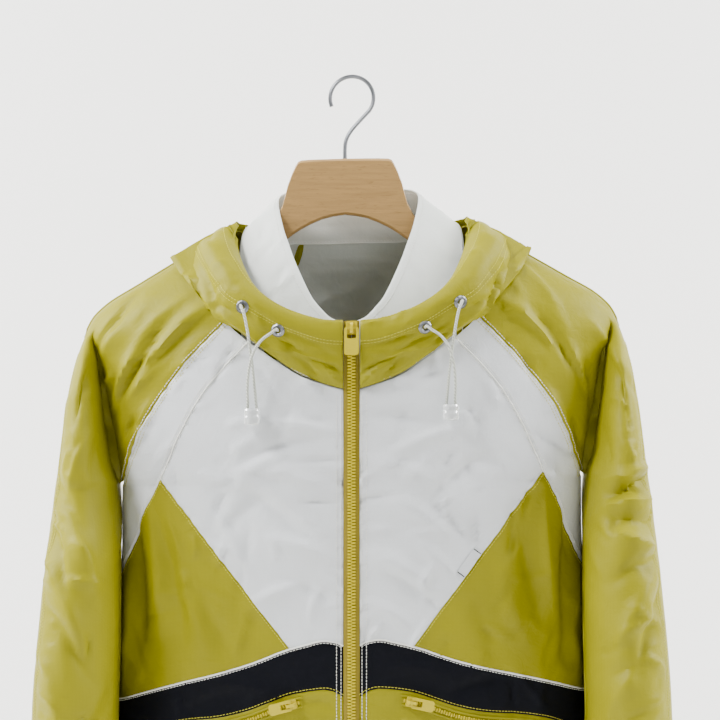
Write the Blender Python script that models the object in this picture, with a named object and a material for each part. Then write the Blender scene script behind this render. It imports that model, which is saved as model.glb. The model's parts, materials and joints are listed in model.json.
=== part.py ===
"""Hooded windbreaker jacket hanging on a contoured wooden hanger.

Frame: metres, +Z up, -Y is the front of the jacket, +X the wearer's left. The origin is the crest of
the hanger's hook. Everything below is worked out in millimetres for one half (x is the distance from
the centre front) and then mirrored; the whole garment hangs with a slight tilt, given as a shear.
"""
import math

import bpy
import numpy as np

for old in list(bpy.data.objects):
    bpy.data.objects.remove(old, do_unlink=True)

MM = 0.001
WALL = 1.2            # cloth with its lining, mm
SEAM = 0.2            # each piece stops this short of the seam line
LAY = 0.45            # gap under what lies on a panel
TILT = 0.022          # the hanger hangs with the wearer's left side a little higher
ROUND = 2.6           # exponent of the body's flattened oval section

SHOULDER_Z = -207.6   # height of the shoulder corner
ARMPIT_Z = -352.0
NECK_SIDE_Z = -131.0
BACK_NECK_Z = -141.0
HEM_Z = -790.0
HEM_END_Z = -832.0
CUFF_Z = -792.0
CUFF_END_Z = -830.0
ZIP_TOP_Z = -213.5
TAPE_HALF = 6.8       # zip tape showing on each side of the centre front
TEETH_HALF = 3.3      # half width of the closed row of teeth
TEETH_UP = 2.2        # its height over the tape
STOP_H = 6.5          # room for the stop at the zip's lower end
GAP = 0.25            # each half of the zip stops this short of the centre front
ON_TOP = 0.35         # gap under teeth, sliders and eyelets
PANEL_X = 7.1         # where the fronts start
SIDE_BACK = 14.0      # how far the side seam sits behind the middle
VALLEY = 12.0         # half thickness of the cloth neck between body and sleeve

# Body section at each height: distance of the side edge, depth of the front and of the back
BODY = {
    "z":     [-127, -140, -160, -178, -194, -207.6, -240, -264,
              -288, -309, -330, -352, -434, -540, -650, -832],
    "edge":  [102, 123, 157, 187.5, 214, 227.4, 219, 214.5, 210.5, 206, 202.5, 201, 203.6, 206, 208, 209],
    "outer": [102, 123, 157, 187.5, 214, 227.4, 239.5, 245, 248.7, 251.4, 253.8, 256.5, 266, 274, 278, 278],
    "front": [9, 20, 36, 47, 54, 58, 62.5, 65, 66.5, 67.5, 68, 68, 67, 65, 62, 58],
    "back":  [9, 30, 40, 47, 51, 53, 57, 58.5, 60, 60.5, 61, 61, 60, 58, 56, 54],
}
# Sleeve section: inner and outer edge, foremost and rearmost point, middle of its depth
SLEEVE = {
    "z":     [-207.6, -220, -240, -264, -288, -309, -330, -352, -400, -450, -550, -650, -740, -790, -832],
    "inner": [224, 222.5, 221.5, 218.5, 216, 213, 211, 209, 207, 206.5, 208, 210, 212, 216, 220],
    "outer": [227.4, 233, 239.5, 245, 248.7, 251.4, 253.8, 256.5, 262, 267.5, 275.5, 278, 277, 272, 266],
    "fore":  [-10, -20, -36, -50, -60, -67, -72, -78, -84, -88, -90, -87, -80, -70, -62],
    "aft":   [10, 18, 32, 44, 51, 56, 59, 62, 60, 58, 54, 46, 36, 22, 14],
    "mid":   [0, -1, -4, -8, -11, -13, -15, -17, -18, -19, -20, -22, -24, -25, -25],
}
# Seam lines on the front, as distance from the centre front and height
NECK_LINE = {"x": [7.1, 18.7, 40.8, 63.8, 76, 88], "z": [-271.9, -268.5, -260.8, -246.4, -237.5, -229.5]}
NECK_CORNER = {"x": [88, 94.5, 101, 108], "z": [-229.5, -224, -218.3, -211.1]}
NECK_SIDE = {"z": [-211.1, -185, -160, -131], "x": [108, 109, 106.5, 103]}
RAGLAN = {"z": [-211.1, -249.4, -284.2, -305, -329.3, -343, -352],
          "x": [108, 144.5, 170, 181, 192, 198, 200.9]}
INNER_SEAM = {"x": [88, 110.5, 127.5, 144.5, 156.8, 164.2],
              "z": [-229.5, -252.3, -273.2, -302, -328.8, -345.8]}
STRIP_END = {"x": [164.2, 172.1, 187.9, 203.5], "z": [-345.8, -360.7, -396.4, -434]}
DIAGONAL = {"x": [164.2, 52.3], "z": [-345.8, -491]}
BAND_TOP = {"x": [7.1, 12.8, 23.8, 38.3, 52.3, 85, 114.8, 146.2, 176, 206],
            "z": [-489, -486.1, -484.4, -487.5, -491, -503.1, -512, -520.1, -529, -540]}
BAND_END = {"x": [7.1, 12.8, 22.1, 34, 52.3, 69.7, 91, 114.8, 140.3, 164, 206.5],
            "z": [-532.4, -528.6, -526, -526.9, -530, -536.2, -543.9, -549.4, -552.4, -557.1, -577]}
BACK_RAGLAN = {"z": [-141, -170, -211.1, -250, -288, -320, -343, -352],
               "x": [88, 100, 122, 148, 172, 188, 198, 200.9]}
# Zip's depth in the chin guard, above the neck seam
ZIP_LINE = {"z": [-213.5, -240, -271.9], "y": [-68.5, -68.5, -65.7]}

# Hood, from the zip round to the centre back. Each row is one rib: where it leaves the neck seam,
# where it rests on the shoulder or back, its outer fold, its crest and its free edge (x, y, z).
HOOD = {
    "seam":  [(7.2, -69, -271), (24, -69, -266), (45, -67.5, -257), (66, -65, -243),
              (86, -61.5, -228), (100, -56.5, -214), (103.5, -50, -202), (104.5, -40, -183),
              (103, -26, -160), (100, -9, -131),
              (93, 16, -126), (64, 33.5, -136), (32, 38, -138.5), (0, 39, -139)],
    "rest":  [(7.2, -71.5, -256), (24, -71.5, -252), (45.5, -71, -244), (67.5, -69.5, -235),
              (89, -66.5, -222.5), (109, -60.5, -211.5), (121, -53.5, -200), (133, -42, -186),
              (144, -25, -171), (150.5, -1, -157),
              (147, 48, -168), (112, 62, -215), (62, 66, -252), (0, 67, -262)],
    "fold":  [(7.2, -73, -240), (24, -73.5, -238), (44.5, -75, -231), (65, -75, -222),
              (88, -72, -209.5), (107.5, -66, -200), (118.5, -58, -189), (129.5, -45, -175),
              (139, -24, -160), (144.5, 6, -148.5),
              (144, 62, -170), (116, 80, -235), (66, 86, -283), (0, 88, -296)],
    "crest": [(7.2, -74.5, -224), (24, -75.5, -222), (43.5, -77.5, -216), (63, -77.5, -208),
              (82.5, -75, -195), (99, -69, -182.5), (108.5, -61, -170), (117.5, -47, -156),
              (124, -28, -142), (127, 8, -136.5),
              (124, 68, -148), (104, 98, -190), (60, 112, -220), (0, 116, -228)],
    "edge":  [(7.2, -71.5, -213.2), (24, -72, -212), (41, -73, -207.3), (60, -72.5, -199.5),
              (77, -68.5, -188),
              (89, -62, -175), (97.5, -53, -162), (104, -41, -151), (108.5, -26, -139), (110, -2, -128),
              (104, 52, -128.5), (82, 88, -142), (45, 104, -150), (0, 108, -152)],
}
HOOD_SPLIT = 10       # rib at which the side pieces meet the centre piece
HOOD_SEATED = 6       # up to this rib the seam lies on the front

# Stand collar, from the centre front round to the centre back: neck edge and upper edge (x, y, z)
COLLAR = {
    "low":  [(6.5, -62.5, -268), (24, -62.5, -263), (45, -61, -253), (66, -58, -239), (84, -53, -222),
             (93, -45, -205), (98, -33, -184), (98.5, -19, -161), (95.5, -3, -132), (86, 12, -132),
             (58, 26.3, -142.5), (0, 28.6, -143.5)],
    "high": [(6.5, -53.5, -213.5), (15.3, -52.5, -209.8), (24, -50, -201), (31, -47, -192), (39, -42, -176),
             (46, -35, -160), (51.5, -27, -145), (57, -17, -129), (61.5, 0, -106), (56, 13, -97.5),
             (33, 23, -96.5), (0, 26.0, -97)],
}
COLLAR_SHIFT = -3.0   # the collar's upper edge leans this much to the wearer's right

# Hanger outline seen from the front, from its middle outwards; the end is rounded
HANGER_X = -6.0       # its head leans this much to the wearer's right
HANGER_TOP = {"x": [0, 20, 38, 41, 43, 49.5, 52.5, 54.5, 72, 90, 108, 130, 160, 180, 200],
              "z": [-70.5, -70.6, -71.2, -72.4, -75.5, -91, -101, -110, -134, -148, -153, -158, -168.5,
                    -178.5, -188.4]}
HANGER_LOW = {"x": [0, 15, 30, 42, 50, 60, 76, 108, 150, 200],
              "z": [-119.3, -121.5, -127, -133.4, -139, -146, -157, -176, -198, -221]}
HANGER_THICK = 12.0
HOOK_WIRE = 3.6
HOOK_R = 19.0

EYELETS = {"outer": (92.0, -200.0), "inner": (62.0, -220.5)}
EYELET_R, EYELET_HOLE = 5.8, 2.4
CORD_D = 2.4
# Drawcord from the outer eyelet down into its stopper, round, and up to the inner eyelet (x, y, z)
CORD_ROUTE = [(90.5, -80, -206), (88, -79.5, -218), (85.9, -77.5, -232), (83.3, -75, -253),
              (81.8, -73.5, -268), (80.6, -73, -281), (79.9, -73, -289), (81.2, -73, -294.2),
              (83.9, -73, -296), (86.6, -73, -294.2), (87.9, -73, -289), (87.5, -73.5, -281),
              (87.8, -75.5, -269), (86.6, -79, -255), (84, -82, -243),
              (79.6, -82.5, -233.5), (74, -82, -227), (68, -81, -223)]
STOPPER = {"x": 83.9, "y": -73.0, "top": -286.0, "r": 7.3, "bore": 5.9, "h": 13.6}
PULL = {"length": 23.0, "width": 12.4, "thick": 1.6}
PIVOT_Z = -221.5
POCKET = {"from": 42.0, "to": 176.0, "drop": 3.5, "width": 9.0, "slider": 51.0, "pull": 19.0}
LABEL = {"height": -424.3, "length": 27.0, "width": 8.0, "off": 4.8}

COLORS = {
    "shell": (0.400, 0.380, 0.058), "white": (0.72, 0.74, 0.77), "lining": (0.79, 0.82, 0.78),
    "navy": (0.008, 0.010, 0.018), "tape": (0.38, 0.29, 0.030), "teeth": (0.55, 0.45, 0.045),
    "wood": (0.40, 0.26, 0.15), "steel": (0.25, 0.26, 0.27), "cord": (0.56, 0.58, 0.51),
    "clear": (0.8, 0.8, 0.8),
}
FINISH = {"steel": (0.3, 1.0), "teeth": (0.4, 0.0), "wood": (0.5, 0.0), "clear": (0.15, 0.0)}


# ---------------------------------------------------------------- numbers and curves
def smooth(table, key, column):
    """Monotone cubic through one column of a table."""
    x = np.array(table[key], float)
    y = np.array(table[column], float)
    if x[0] > x[-1]:
        x, y = x[::-1], y[::-1]
    h = np.diff(x)
    d = np.diff(y) / h
    m = np.concatenate(([d[0]], np.zeros(len(x) - 2), [d[-1]]))
    for i in range(1, len(x) - 1):
        if d[i - 1] * d[i] > 0:
            a, b = 2 * h[i] + h[i - 1], h[i] + 2 * h[i - 1]
            m[i] = (a + b) / (a / d[i - 1] + b / d[i])

    def value(t):
        t = min(max(float(t), x[0]), x[-1])
        i = int(min(max(np.searchsorted(x, t) - 1, 0), len(x) - 2))
        s = (t - x[i]) / h[i]
        return (y[i] * (1 + 2 * s) * (1 - s) ** 2 + m[i] * h[i] * s * (1 - s) ** 2
                + y[i + 1] * s * s * (3 - 2 * s) + m[i + 1] * h[i] * s * s * (s - 1))
    return value


def spline(points, t):
    """Catmull-Rom through points, t from 0 to len - 1."""
    p = np.asarray(points, float)
    i = int(min(max(math.floor(t), 0), len(p) - 2))
    s = t - i
    a, b, c, d = (p[max(i - 1, 0)], p[i], p[i + 1], p[min(i + 2, len(p) - 1)])
    return 0.5 * (2 * b + (c - a) * s + (2 * a - 5 * b + 4 * c - d) * s * s
                  + (3 * b - a - 3 * c + d) * s ** 3)


def ease(t):
    t = min(max(t, 0.0), 1.0)
    return t * t * (3 - 2 * t)


def unit(v):
    return v / max(np.linalg.norm(v), 1e-9)


EDGE, OUTER = smooth(BODY, "z", "edge"), smooth(BODY, "z", "outer")
DEPTH = {"front": smooth(BODY, "z", "front"), "back": smooth(BODY, "z", "back")}
SLV = {name: smooth(SLEEVE, "z", name) for name in ("inner", "outer", "fore", "aft", "mid")}
ZIP_Y = smooth(ZIP_LINE, "z", "y")


def seam_points(table, count, key="x"):
    """Points spread evenly along a seam line given as a table of x and z."""
    other = "z" if key == "x" else "x"
    line = smooth(table, key, other)
    ends = table[key]
    fine = [(k, line(k)) for k in np.linspace(ends[0], ends[-1], 60)]
    fine = np.array(fine if key == "x" else [(b, a) for a, b in fine])
    run = np.concatenate(([0], np.cumsum(np.linalg.norm(np.diff(fine, axis=0), axis=1))))
    at = np.linspace(0, run[-1], count + 1)
    return np.column_stack([np.interp(at, run, fine[:, k]) for k in (0, 1)])


# ---------------------------------------------------------------- the garment's surfaces
def joined(z):
    """0 where the shoulder is one smooth curve, 1 where body and sleeve are parted by the fold."""
    return ease((SHOULDER_Z - z) / 35.0)


def valley(z):
    """Half thickness of the cloth neck between body and sleeve; it closes at the armpit."""
    t = min(max((z - ARMPIT_Z - 2) / 34.0, 0.0), 1.0)
    return SEAM + VALLEY * math.sqrt(1 - (1 - t) ** 2)


def side_y(z):
    """The side seam sits behind the middle of the body below the armpit."""
    return SIDE_BACK * ease((ARMPIT_Z - z) / 70.0)


def reach(z):
    return OUTER(z) + (EDGE(z) - OUTER(z)) * joined(z)


def to_angle(x, z):
    return math.asin(min(max(x / reach(z), 0.0), 1.0) ** (ROUND / 2))


def body(side, angle, z):
    """Point of the body's front or back; angle runs from the centre (0) to the side (pi/2)."""
    a, w, d, v = reach(z), joined(z), DEPTH[side](z), valley(z)
    s, c = math.sin(angle), math.cos(angle)
    x = a * s ** (2 / ROUND)
    if w in (0.0, 1.0):
        back = -side_y(z) if side == "front" else side_y(z)
        y = back + v * w + (d - v * w - back) * c
    else:
        whole = d * math.sqrt(max(1 - (x / OUTER(z)) ** ROUND, 0))
        part = v + (d - v) * math.sqrt(max(1 - min(x / EDGE(z), 1) ** ROUND, 0))
        y = whole + (part - whole) * w
    return np.array([x, -y if side == "front" else y, z])


def chest(side, s, z, start):
    """Raglan part of a sleeve piece: s from its seam (0) to the fold or the shoulder ridge (1)."""
    w, d, v = joined(z), DEPTH[side](z), valley(z)
    out = []
    for a, low, last in ((OUTER(z), 0.0, 0.70), (EDGE(z), v, 1.0)):
        first = math.asin(min(start / a, 1.0) ** (ROUND / 2))
        angle = first + (math.pi / 2 - first) * s * last
        out.append(np.array([a * math.sin(angle) ** (2 / ROUND), low + (d - low) * math.cos(angle)]))
    x, y = out[0] + (out[1] - out[0]) * w
    return np.array([x, -y if side == "front" else y, z])


def arm(side, s, z, start):
    """Sleeve part: s from the fold or underarm seam (0) to the overarm seam (1)."""
    w, v, sign = joined(z), valley(z), -1 if side == "front" else 1
    first = math.asin(min(start / OUTER(z), 1.0) ** (ROUND / 2))
    angle = first + (math.pi / 2 - first) * (0.75 + 0.25 * s)
    whole = np.array([OUTER(z) * math.sin(angle) ** (2 / ROUND), sign * DEPTH[side](z) * math.cos(angle)])
    inner, outer, mid = SLV["inner"](z), SLV["outer"](z), SLV["mid"](z)
    bulge = abs(SLV["fore" if side == "front" else "aft"](z) - mid)
    low = sign * v if z > ARMPIT_Z else mid * ease((ARMPIT_Z - z) / 60)
    turn = math.pi * s
    part = np.array([(inner + outer) / 2 - (outer - inner) / 2 * math.cos(turn),
                     low + (mid - low) * s + sign * bulge * math.sin(turn)])
    x, y = whole + (part - whole) * w
    return np.array([x, y, z])


def normal(surface, a, b, side):
    """Outward direction of surface(a, b) by small differences."""
    h = 2e-3
    n = np.cross(surface(a + h, b) - surface(a - h, b), surface(a, b + 0.4) - surface(a, b - 0.4))
    n = unit(n)
    wrong = n[1] > 0 if side == "front" else n[1] < 0
    if abs(n[1]) < 0.05:
        wrong = n[0] < 0
    return -n if wrong else n


# ---------------------------------------------------------------- meshes
def material(kind):
    mat = bpy.data.materials.get(kind)
    if mat is None:
        mat = bpy.data.materials.new(kind)
        mat.use_nodes = True
        rough, metal = FINISH.get(kind, (0.62, 0.0))
        shader = mat.node_tree.nodes["Principled BSDF"]
        shader.inputs["Base Color"].default_value = (*COLORS[kind], 1)
        shader.inputs["Roughness"].default_value = rough
        shader.inputs["Metallic"].default_value = metal
    return mat


def add(name, points, faces, kind, side=1, origin=(0, 0, 0), tilt=True):
    """Make an object from points in mm for the +x half, mirrored where side is -1."""
    p = np.array(points, float)
    p[:, 0] *= side
    origin = np.array(origin, float) * (side, 1, 1)
    if tilt:
        p[:, 2] += TILT * p[:, 0]
        origin[2] += TILT * origin[0]
    faces = [tuple(f)[::-1] for f in faces] if side < 0 else [tuple(f) for f in faces]
    mesh = bpy.data.meshes.new(name)
    mesh.from_pydata([tuple(q) for q in (p - origin) * MM], [], faces)
    mesh.materials.append(material(kind))
    ob = bpy.data.objects.new(name, mesh)
    ob.location = origin * MM
    bpy.context.collection.objects.link(ob)
    mesh.shade_smooth()
    mesh.set_sharp_from_angle(angle=math.radians(40))
    return ob


def volume(p, faces):
    total = 0.0
    for f in faces:
        for k in range(1, len(f) - 1):
            total += np.dot(p[f[0]], np.cross(p[f[k]], p[f[k + 1]]))
    return total


def wall(name, points, normals, faces, kind, side=1, thick=WALL):
    """Close a sheet of triangles into a wall that grows inwards from its outer face."""
    p, n = np.array(points), np.array(normals)
    count = len(p)
    both = np.vstack([p, p - n * thick])
    edges = {}
    for f in faces:
        for a, b in zip(f, f[1:] + f[:1]):
            edges[(a, b)] = True
    out = list(faces) + [tuple(i + count for i in f)[::-1] for f in faces]
    for a, b in edges:
        if (b, a) not in edges:
            out += [(b, a, a + count), (b, a + count, b + count)]
    if volume(both, out) < 0:
        out = [f[::-1] for f in out]
    return add(name, both, out, kind, side)


def grid_faces(rows, cols, closed=False):
    """Triangles of a grid, the same diagonal everywhere."""
    faces = []
    last = cols if closed else cols - 1
    for i in range(rows - 1):
        for j in range(last):
            a, b = i * cols + j, i * cols + (j + 1) % cols
            c, d = a + cols, b + cols
            faces += [(a, b, d), (a, d, c)]
    return faces


def mesh_normals(points, faces, like):
    """Average face normals at each point, turned the way of the sample normals."""
    p = np.array(points)
    n = np.zeros_like(p)
    for f in faces:
        m = np.cross(p[f[1]] - p[f[0]], p[f[2]] - p[f[0]])
        for i in f:
            n[i] += m
    if np.sum(n * np.array(like)) < 0:
        n = -n
    return np.array([unit(v) for v in n])


def inset(grid, left=True, right=True, top=True, bottom=True, by=SEAM):
    """Pull the border of a grid of points in by the seam gap."""
    g = np.array(grid)
    src = g.copy()
    for use, edge, near in ((left, np.s_[:, 0], np.s_[:, 1]), (right, np.s_[:, -1], np.s_[:, -2]),
                            (top, np.s_[0], np.s_[1]), (bottom, np.s_[-1], np.s_[-2])):
        if use:
            step = src[near] - src[edge]
            g[edge] += by * step / np.maximum(np.linalg.norm(step, axis=1, keepdims=True), by * 1.2)
    return g


def patch(top, bottom, inner, outer):
    """Fill four seam lines with a grid: rows follow top to bottom, columns inner to outer."""
    rows, cols = len(inner), len(top)
    grid = np.zeros((rows, cols, 2))
    for i in range(rows):
        for j in range(cols):
            u, v = j / (cols - 1), i / (rows - 1)
            corners = ((1 - u) * (1 - v) * top[0] + u * (1 - v) * top[-1]
                       + (1 - u) * v * bottom[0] + u * v * bottom[-1])
            grid[i, j] = (1 - v) * top[j] + v * bottom[j] + (1 - u) * inner[i] + u * outer[i] - corners
    return grid


def body_panel(name, flat, kind, side_of="front", sides=(-1, 1), thick=WALL, lift=0.0, gap=SEAM):
    """Lay a grid of (x, z) points on the body and close it to a wall."""
    rows, cols = flat.shape[:2]
    points, normals = [], []
    for x, z in inset(flat, by=gap).reshape(-1, 2):
        def on_body(a, b):
            return body(side_of, a, b)
        angle = to_angle(x, z)
        n = normal(on_body, min(max(angle, 0.004), math.pi / 2 - 1e-6), z, side_of)
        points.append(on_body(angle, z) + n * lift)
        normals.append(n)
    faces = grid_faces(rows, cols)
    for side in sides:
        wall(f"{name}_{'L' if side > 0 else 'R'}", points, normals, faces, kind, side, thick)


def in_angle(points):
    """Seam points from (x, z) to (angle, z), in which the panels are filled."""
    return np.array([(to_angle(x, z), z) for x, z in points])


def fill(top, bottom, inner, outer):
    """patch() worked in (angle, z), so that columns bunch where the body turns away."""
    grid = patch(*(in_angle(line) for line in (top, bottom, inner, outer)))
    flat = grid.copy()
    for i, row in enumerate(grid):
        for j, (angle, z) in enumerate(row):
            flat[i, j, 0] = reach(z) * math.sin(min(max(angle, 0), math.pi / 2)) ** (2 / ROUND)
    return flat


def side_seam(z_from, z_to, count):
    return np.array([(reach(z), z) for z in np.linspace(z_from, z_to, count + 1)])


def centre_line(z_from, z_to, count):
    return np.array([(PANEL_X, z) for z in np.linspace(z_from, z_to, count + 1)])


# ---------------------------------------------------------------- fronts, back and hems
UPPER_COLS, STRIP_COLS, SIDE_COLS = 6, 3, 5
SEAM_ROWS, SIDE_ROWS = 6, 3
LOWER_ROWS = 5

inner_seam = seam_points(INNER_SEAM, SEAM_ROWS)
strip_end = seam_points(STRIP_END, SIDE_ROWS)
diagonal = seam_points(DIAGONAL, SEAM_ROWS)
raglan = seam_points(RAGLAN, SEAM_ROWS, "z")
neck_front = seam_points(NECK_LINE, UPPER_COLS)
neck_corner = seam_points(NECK_CORNER, STRIP_COLS)
side_top = side_seam(ARMPIT_Z, -434, SIDE_ROWS)
side_mid = side_seam(-434, -540, SIDE_ROWS)


def split_line(table, x_split, count_in, count_out):
    """A seam line sampled separately on both sides of a joining seam."""
    line = smooth(table, "x", "z")
    parts = []
    for x0, x1, count in ((table["x"][0], x_split, count_in), (x_split, table["x"][-1], count_out)):
        xs = np.linspace(x0, x1, 25)
        parts.append(seam_points({"x": list(xs), "z": [line(x) for x in xs]}, count))
    return parts


def fronts():
    band_in, band_out = split_line(BAND_TOP, DIAGONAL["x"][1], UPPER_COLS, SIDE_COLS)
    end_in, end_out = split_line(BAND_END, DIAGONAL["x"][1], UPPER_COLS, SIDE_COLS)
    band_out[-1, 0], end_out[-1, 0] = reach(band_out[-1, 1]), reach(end_out[-1, 1])
    centre = centre_line(neck_front[0, 1], band_in[0, 1], 2 * SEAM_ROWS)
    outer = np.vstack([inner_seam, diagonal[1:]])
    body_panel("front_upper", fill(neck_front, band_in, centre, outer), "white")

    tip = np.array([reach(-431.0), -431.0])
    angle, z = (to_angle(*strip_end[-2]) + math.pi / 2 * 3) / 4, strip_end[-2, 1] * 0.25 - 434 * 0.75
    near = np.array([reach(z) * math.sin(angle) ** (2 / ROUND), z])
    inner = np.vstack([inner_seam, strip_end[1:-1], near])
    outer = np.vstack([raglan, side_top[1:-1], tip])
    low = np.linspace(near, tip, STRIP_COLS + 1)
    body_panel("raglan_strip", fill(neck_corner, low, inner, outer), "white")

    inner = diagonal.copy()
    inner[0] += (diagonal[1] - diagonal[0]) * 0.08
    outer = np.vstack([strip_end[:-1], near, side_seam(-434.5, -540, SIDE_ROWS - 1)])
    outer[0] += (outer[1] - outer[0]) * 0.12
    top = np.linspace(inner[0], outer[0], SIDE_COLS + 1)
    body_panel("front_side", fill(top, band_out, inner, outer), "shell", gap=0.5)

    top = np.vstack([band_in, band_out[1:]])
    end = np.vstack([end_in, end_out[1:]])
    body_panel("navy_band", fill(top, end, centre_line(top[0, 1], end[0, 1], 1),
                                 side_seam(top[-1, 1], end[-1, 1], 1)), "navy")
    side = side_seam(end[-1, 1], HEM_Z, LOWER_ROWS)
    hem = np.array([(PANEL_X + (side[-1, 0] - PANEL_X) * k / (len(end) - 1), HEM_Z) for k in range(len(end))])
    body_panel("front_lower", fill(end, hem, centre_line(end[0, 1], HEM_Z, LOWER_ROWS), side), "shell")
    hem_end = hem + (0, HEM_END_Z - HEM_Z)
    body_panel("hem_front", fill(hem, hem_end, centre_line(HEM_Z, HEM_END_Z, 1),
                                 side_seam(HEM_Z, HEM_END_Z, 1)), "shell")
    return end[-1, 1]


ROWS_NECK = [NECK_SIDE_Z, BACK_NECK_Z, -155.0, -170.0, -185.0, -199.0]
ROWS_RAGLAN = [float(z) for z in raglan[:, 1]]
ROWS_RAGLAN[-1] = ARMPIT_Z + 2


def across(name, heights, limit, kind, cols, thick=WALL, lift=0.0):
    """A back piece in horizontal rows from one side to the other."""
    points, normals = [], []
    for z in heights:
        for k in range(cols + 1):
            t = -1 + 2 * k / cols
            angle = max(abs(t) * to_angle(limit(z), z), 1e-3)
            if k in (0, cols) and ARMPIT_Z - 1 < z < ARMPIT_Z + 40:
                angle -= 0.035

            def on_back(a, b):
                return body("back", a, b)
            p, n = on_back(angle, z), normal(on_back, max(min(angle, math.pi / 2 - 1e-6), 0.004), z, "back")
            if abs(t) < 1e-9:
                p[0], n = 0, unit(n * (0, 1, 1))
            flip = np.array([-1 if t < 0 else 1, 1, 1])
            points.append(p * flip + n * flip * lift)
            normals.append(n * flip)
    grid = inset(np.array(points).reshape(len(heights), cols + 1, 3))
    return wall(name, grid.reshape(-1, 3), normals, grid_faces(len(heights), cols + 1), kind, 1, thick)


def backs(band_end_z):
    back_raglan = smooth(BACK_RAGLAN, "z", "x")
    sides = [z for _, z in side_top[1:]] + [z for _, z in side_mid[1:]] + [band_end_z]
    sides += [float(z) for z in np.linspace(band_end_z, HEM_Z, LOWER_ROWS + 1)[1:]]
    heights = [BACK_NECK_Z] + ROWS_NECK[2:] + ROWS_RAGLAN[:-1] + [ARMPIT_Z] + sides
    across("back", heights, lambda z: back_raglan(z) if z > ARMPIT_Z else reach(z), "shell", 12)
    across("hem_back", [HEM_Z, HEM_END_Z], reach, "shell", 12)
    lining_end = -330.0
    across("back_lining", list(np.linspace(BACK_NECK_Z - 3.2, lining_end, 7)),
           lambda z: min(back_raglan(z) - 4, 100), "lining", 8, 1.0, -(WALL + 0.95))


# ---------------------------------------------------------------- sleeves
def sleeve(side_of):
    """Raglan sleeve piece: a part on the body above the armpit, joined to the hanging part."""
    neck = smooth(NECK_SIDE, "z", "x") if side_of == "front" else (lambda z: 97 + (z - NECK_SIDE_Z) * 0.9)
    seam = smooth(RAGLAN if side_of == "front" else BACK_RAGLAN, "z", "x")
    chest_cols, arm_cols = 4, 7

    def start(z):
        if side_of == "front":
            return neck(z) if z > RAGLAN["z"][0] else seam(z)
        return neck(z) if z > BACK_NECK_Z else seam(z)

    upper = ROWS_NECK + ROWS_RAGLAN
    lower = [-370, -400, -440, -490, -550, -615, -680, -740, CUFF_Z + SEAM]
    points, fixed = [], {}
    for z in upper:
        def on_chest(a, b):
            return chest(side_of, a, b, start(z))
        for k in range(chest_cols + 1):
            s = k / chest_cols
            if k == 0:
                fixed[len(points)] = normal(on_chest, 0.01, z, side_of)
                gap = SEAM if z > ARMPIT_Z + 10 else 4 * SEAM
                s = gap / max(np.linalg.norm(on_chest(1, z) - on_chest(0, z)), 1)
            points.append(on_chest(s, z))
    first_arm = len(points)
    for z in upper + lower:
        def on_arm(a, b):
            return arm(side_of, a, b, start(min(max(b, ARMPIT_Z), NECK_SIDE_Z)))
        for k in range(arm_cols + 1):
            s = k / arm_cols
            here = len(points)
            if k == arm_cols:
                fixed[here] = normal(on_arm, 1 - 1e-3, z, side_of) * (1, 0, 1)
                fixed[here] = unit(fixed[here])
            if k == 0 and z < ARMPIT_Z:
                n = normal(on_arm, 1e-3, z, side_of)
                fixed[here] = unit(np.array([-abs(n[0]), 0, n[2] if n[0] < 0 else -n[2]]))
            p = on_arm(s, z)
            if k == arm_cols:
                p[1] += -SEAM if side_of == "front" else SEAM
            if k == 0 and z < ARMPIT_Z:
                p[1] += -SEAM if side_of == "front" else SEAM
            points.append(p)
    faces = grid_faces(len(upper), chest_cols + 1)
    faces += [tuple(i + first_arm for i in f) for f in grid_faces(len(upper + lower), arm_cols + 1)]
    for i in range(len(upper) - 1):
        a, c = i * (chest_cols + 1) + chest_cols, (i + 1) * (chest_cols + 1) + chest_cols
        b, d = first_arm + i * (arm_cols + 1), first_arm + (i + 1) * (arm_cols + 1)
        faces += [(a, b, d), (a, d, c)]
    last = len(upper) - 1
    fixed[last * (chest_cols + 1) + chest_cols] = np.array([0, 0, -1.0])
    fixed[first_arm + last * (arm_cols + 1)] = np.array([0, 0, -1.0])
    like = np.zeros((len(points), 3))
    like[:, 1] = -1 if side_of == "front" else 1
    normals = mesh_normals(points, faces, like)
    for i, n in fixed.items():
        normals[i] = n
    for side in (-1, 1):
        wall(f"sleeve_{side_of}_{'L' if side > 0 else 'R'}", points, normals, faces, "shell", side)


def cuffs():
    cols = 6
    heights = [CUFF_Z - SEAM, (CUFF_Z + CUFF_END_Z) / 2, CUFF_END_Z]
    points = []
    for z in heights:
        ring = [arm("front", k / cols, z, 200) for k in range(cols + 1)]
        ring += [arm("back", k / cols, z, 200) for k in range(cols - 1, 0, -1)]
        points += ring
    faces = grid_faces(len(heights), 2 * cols, closed=True)
    middle = np.array(points).mean(axis=0) * (1, 1, 0)
    normals = mesh_normals(points, faces, np.array(points) * (1, 1, 0) - middle)
    for side in (-1, 1):
        wall(f"cuff_{'L' if side > 0 else 'R'}", points, normals, faces, "shell", side, WALL + 0.4)


# ---------------------------------------------------------------- hood and collar
HOOD_RIBS = ("seam", "rest", "fold", "crest", "edge")
RIDGE_NORMAL = (0.545, 0.838)   # across the shoulder ridge, as x and z


def clear_of_body(p, gap):
    """Keep a point of the hood off the shoulders and the back."""
    x, y, z = p
    lean, along = RIDGE_NORMAL
    if z < ARMPIT_Z or x > reach(z) + gap / lean:
        return np.array(p)
    angle = to_angle(x, z)
    front, back = body("front", angle, z)[1] - gap, body("back", angle, z)[1] + gap
    if not front < y < back:
        return np.array(p)
    sideways = min(y - front, back - y)
    upwards = (reach(z) - x) * lean + gap
    if upwards < sideways + 9:
        return np.array([x + lean * upwards, y, z + along * upwards])
    return np.array([x, front if y < 0 else back, z])


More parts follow.
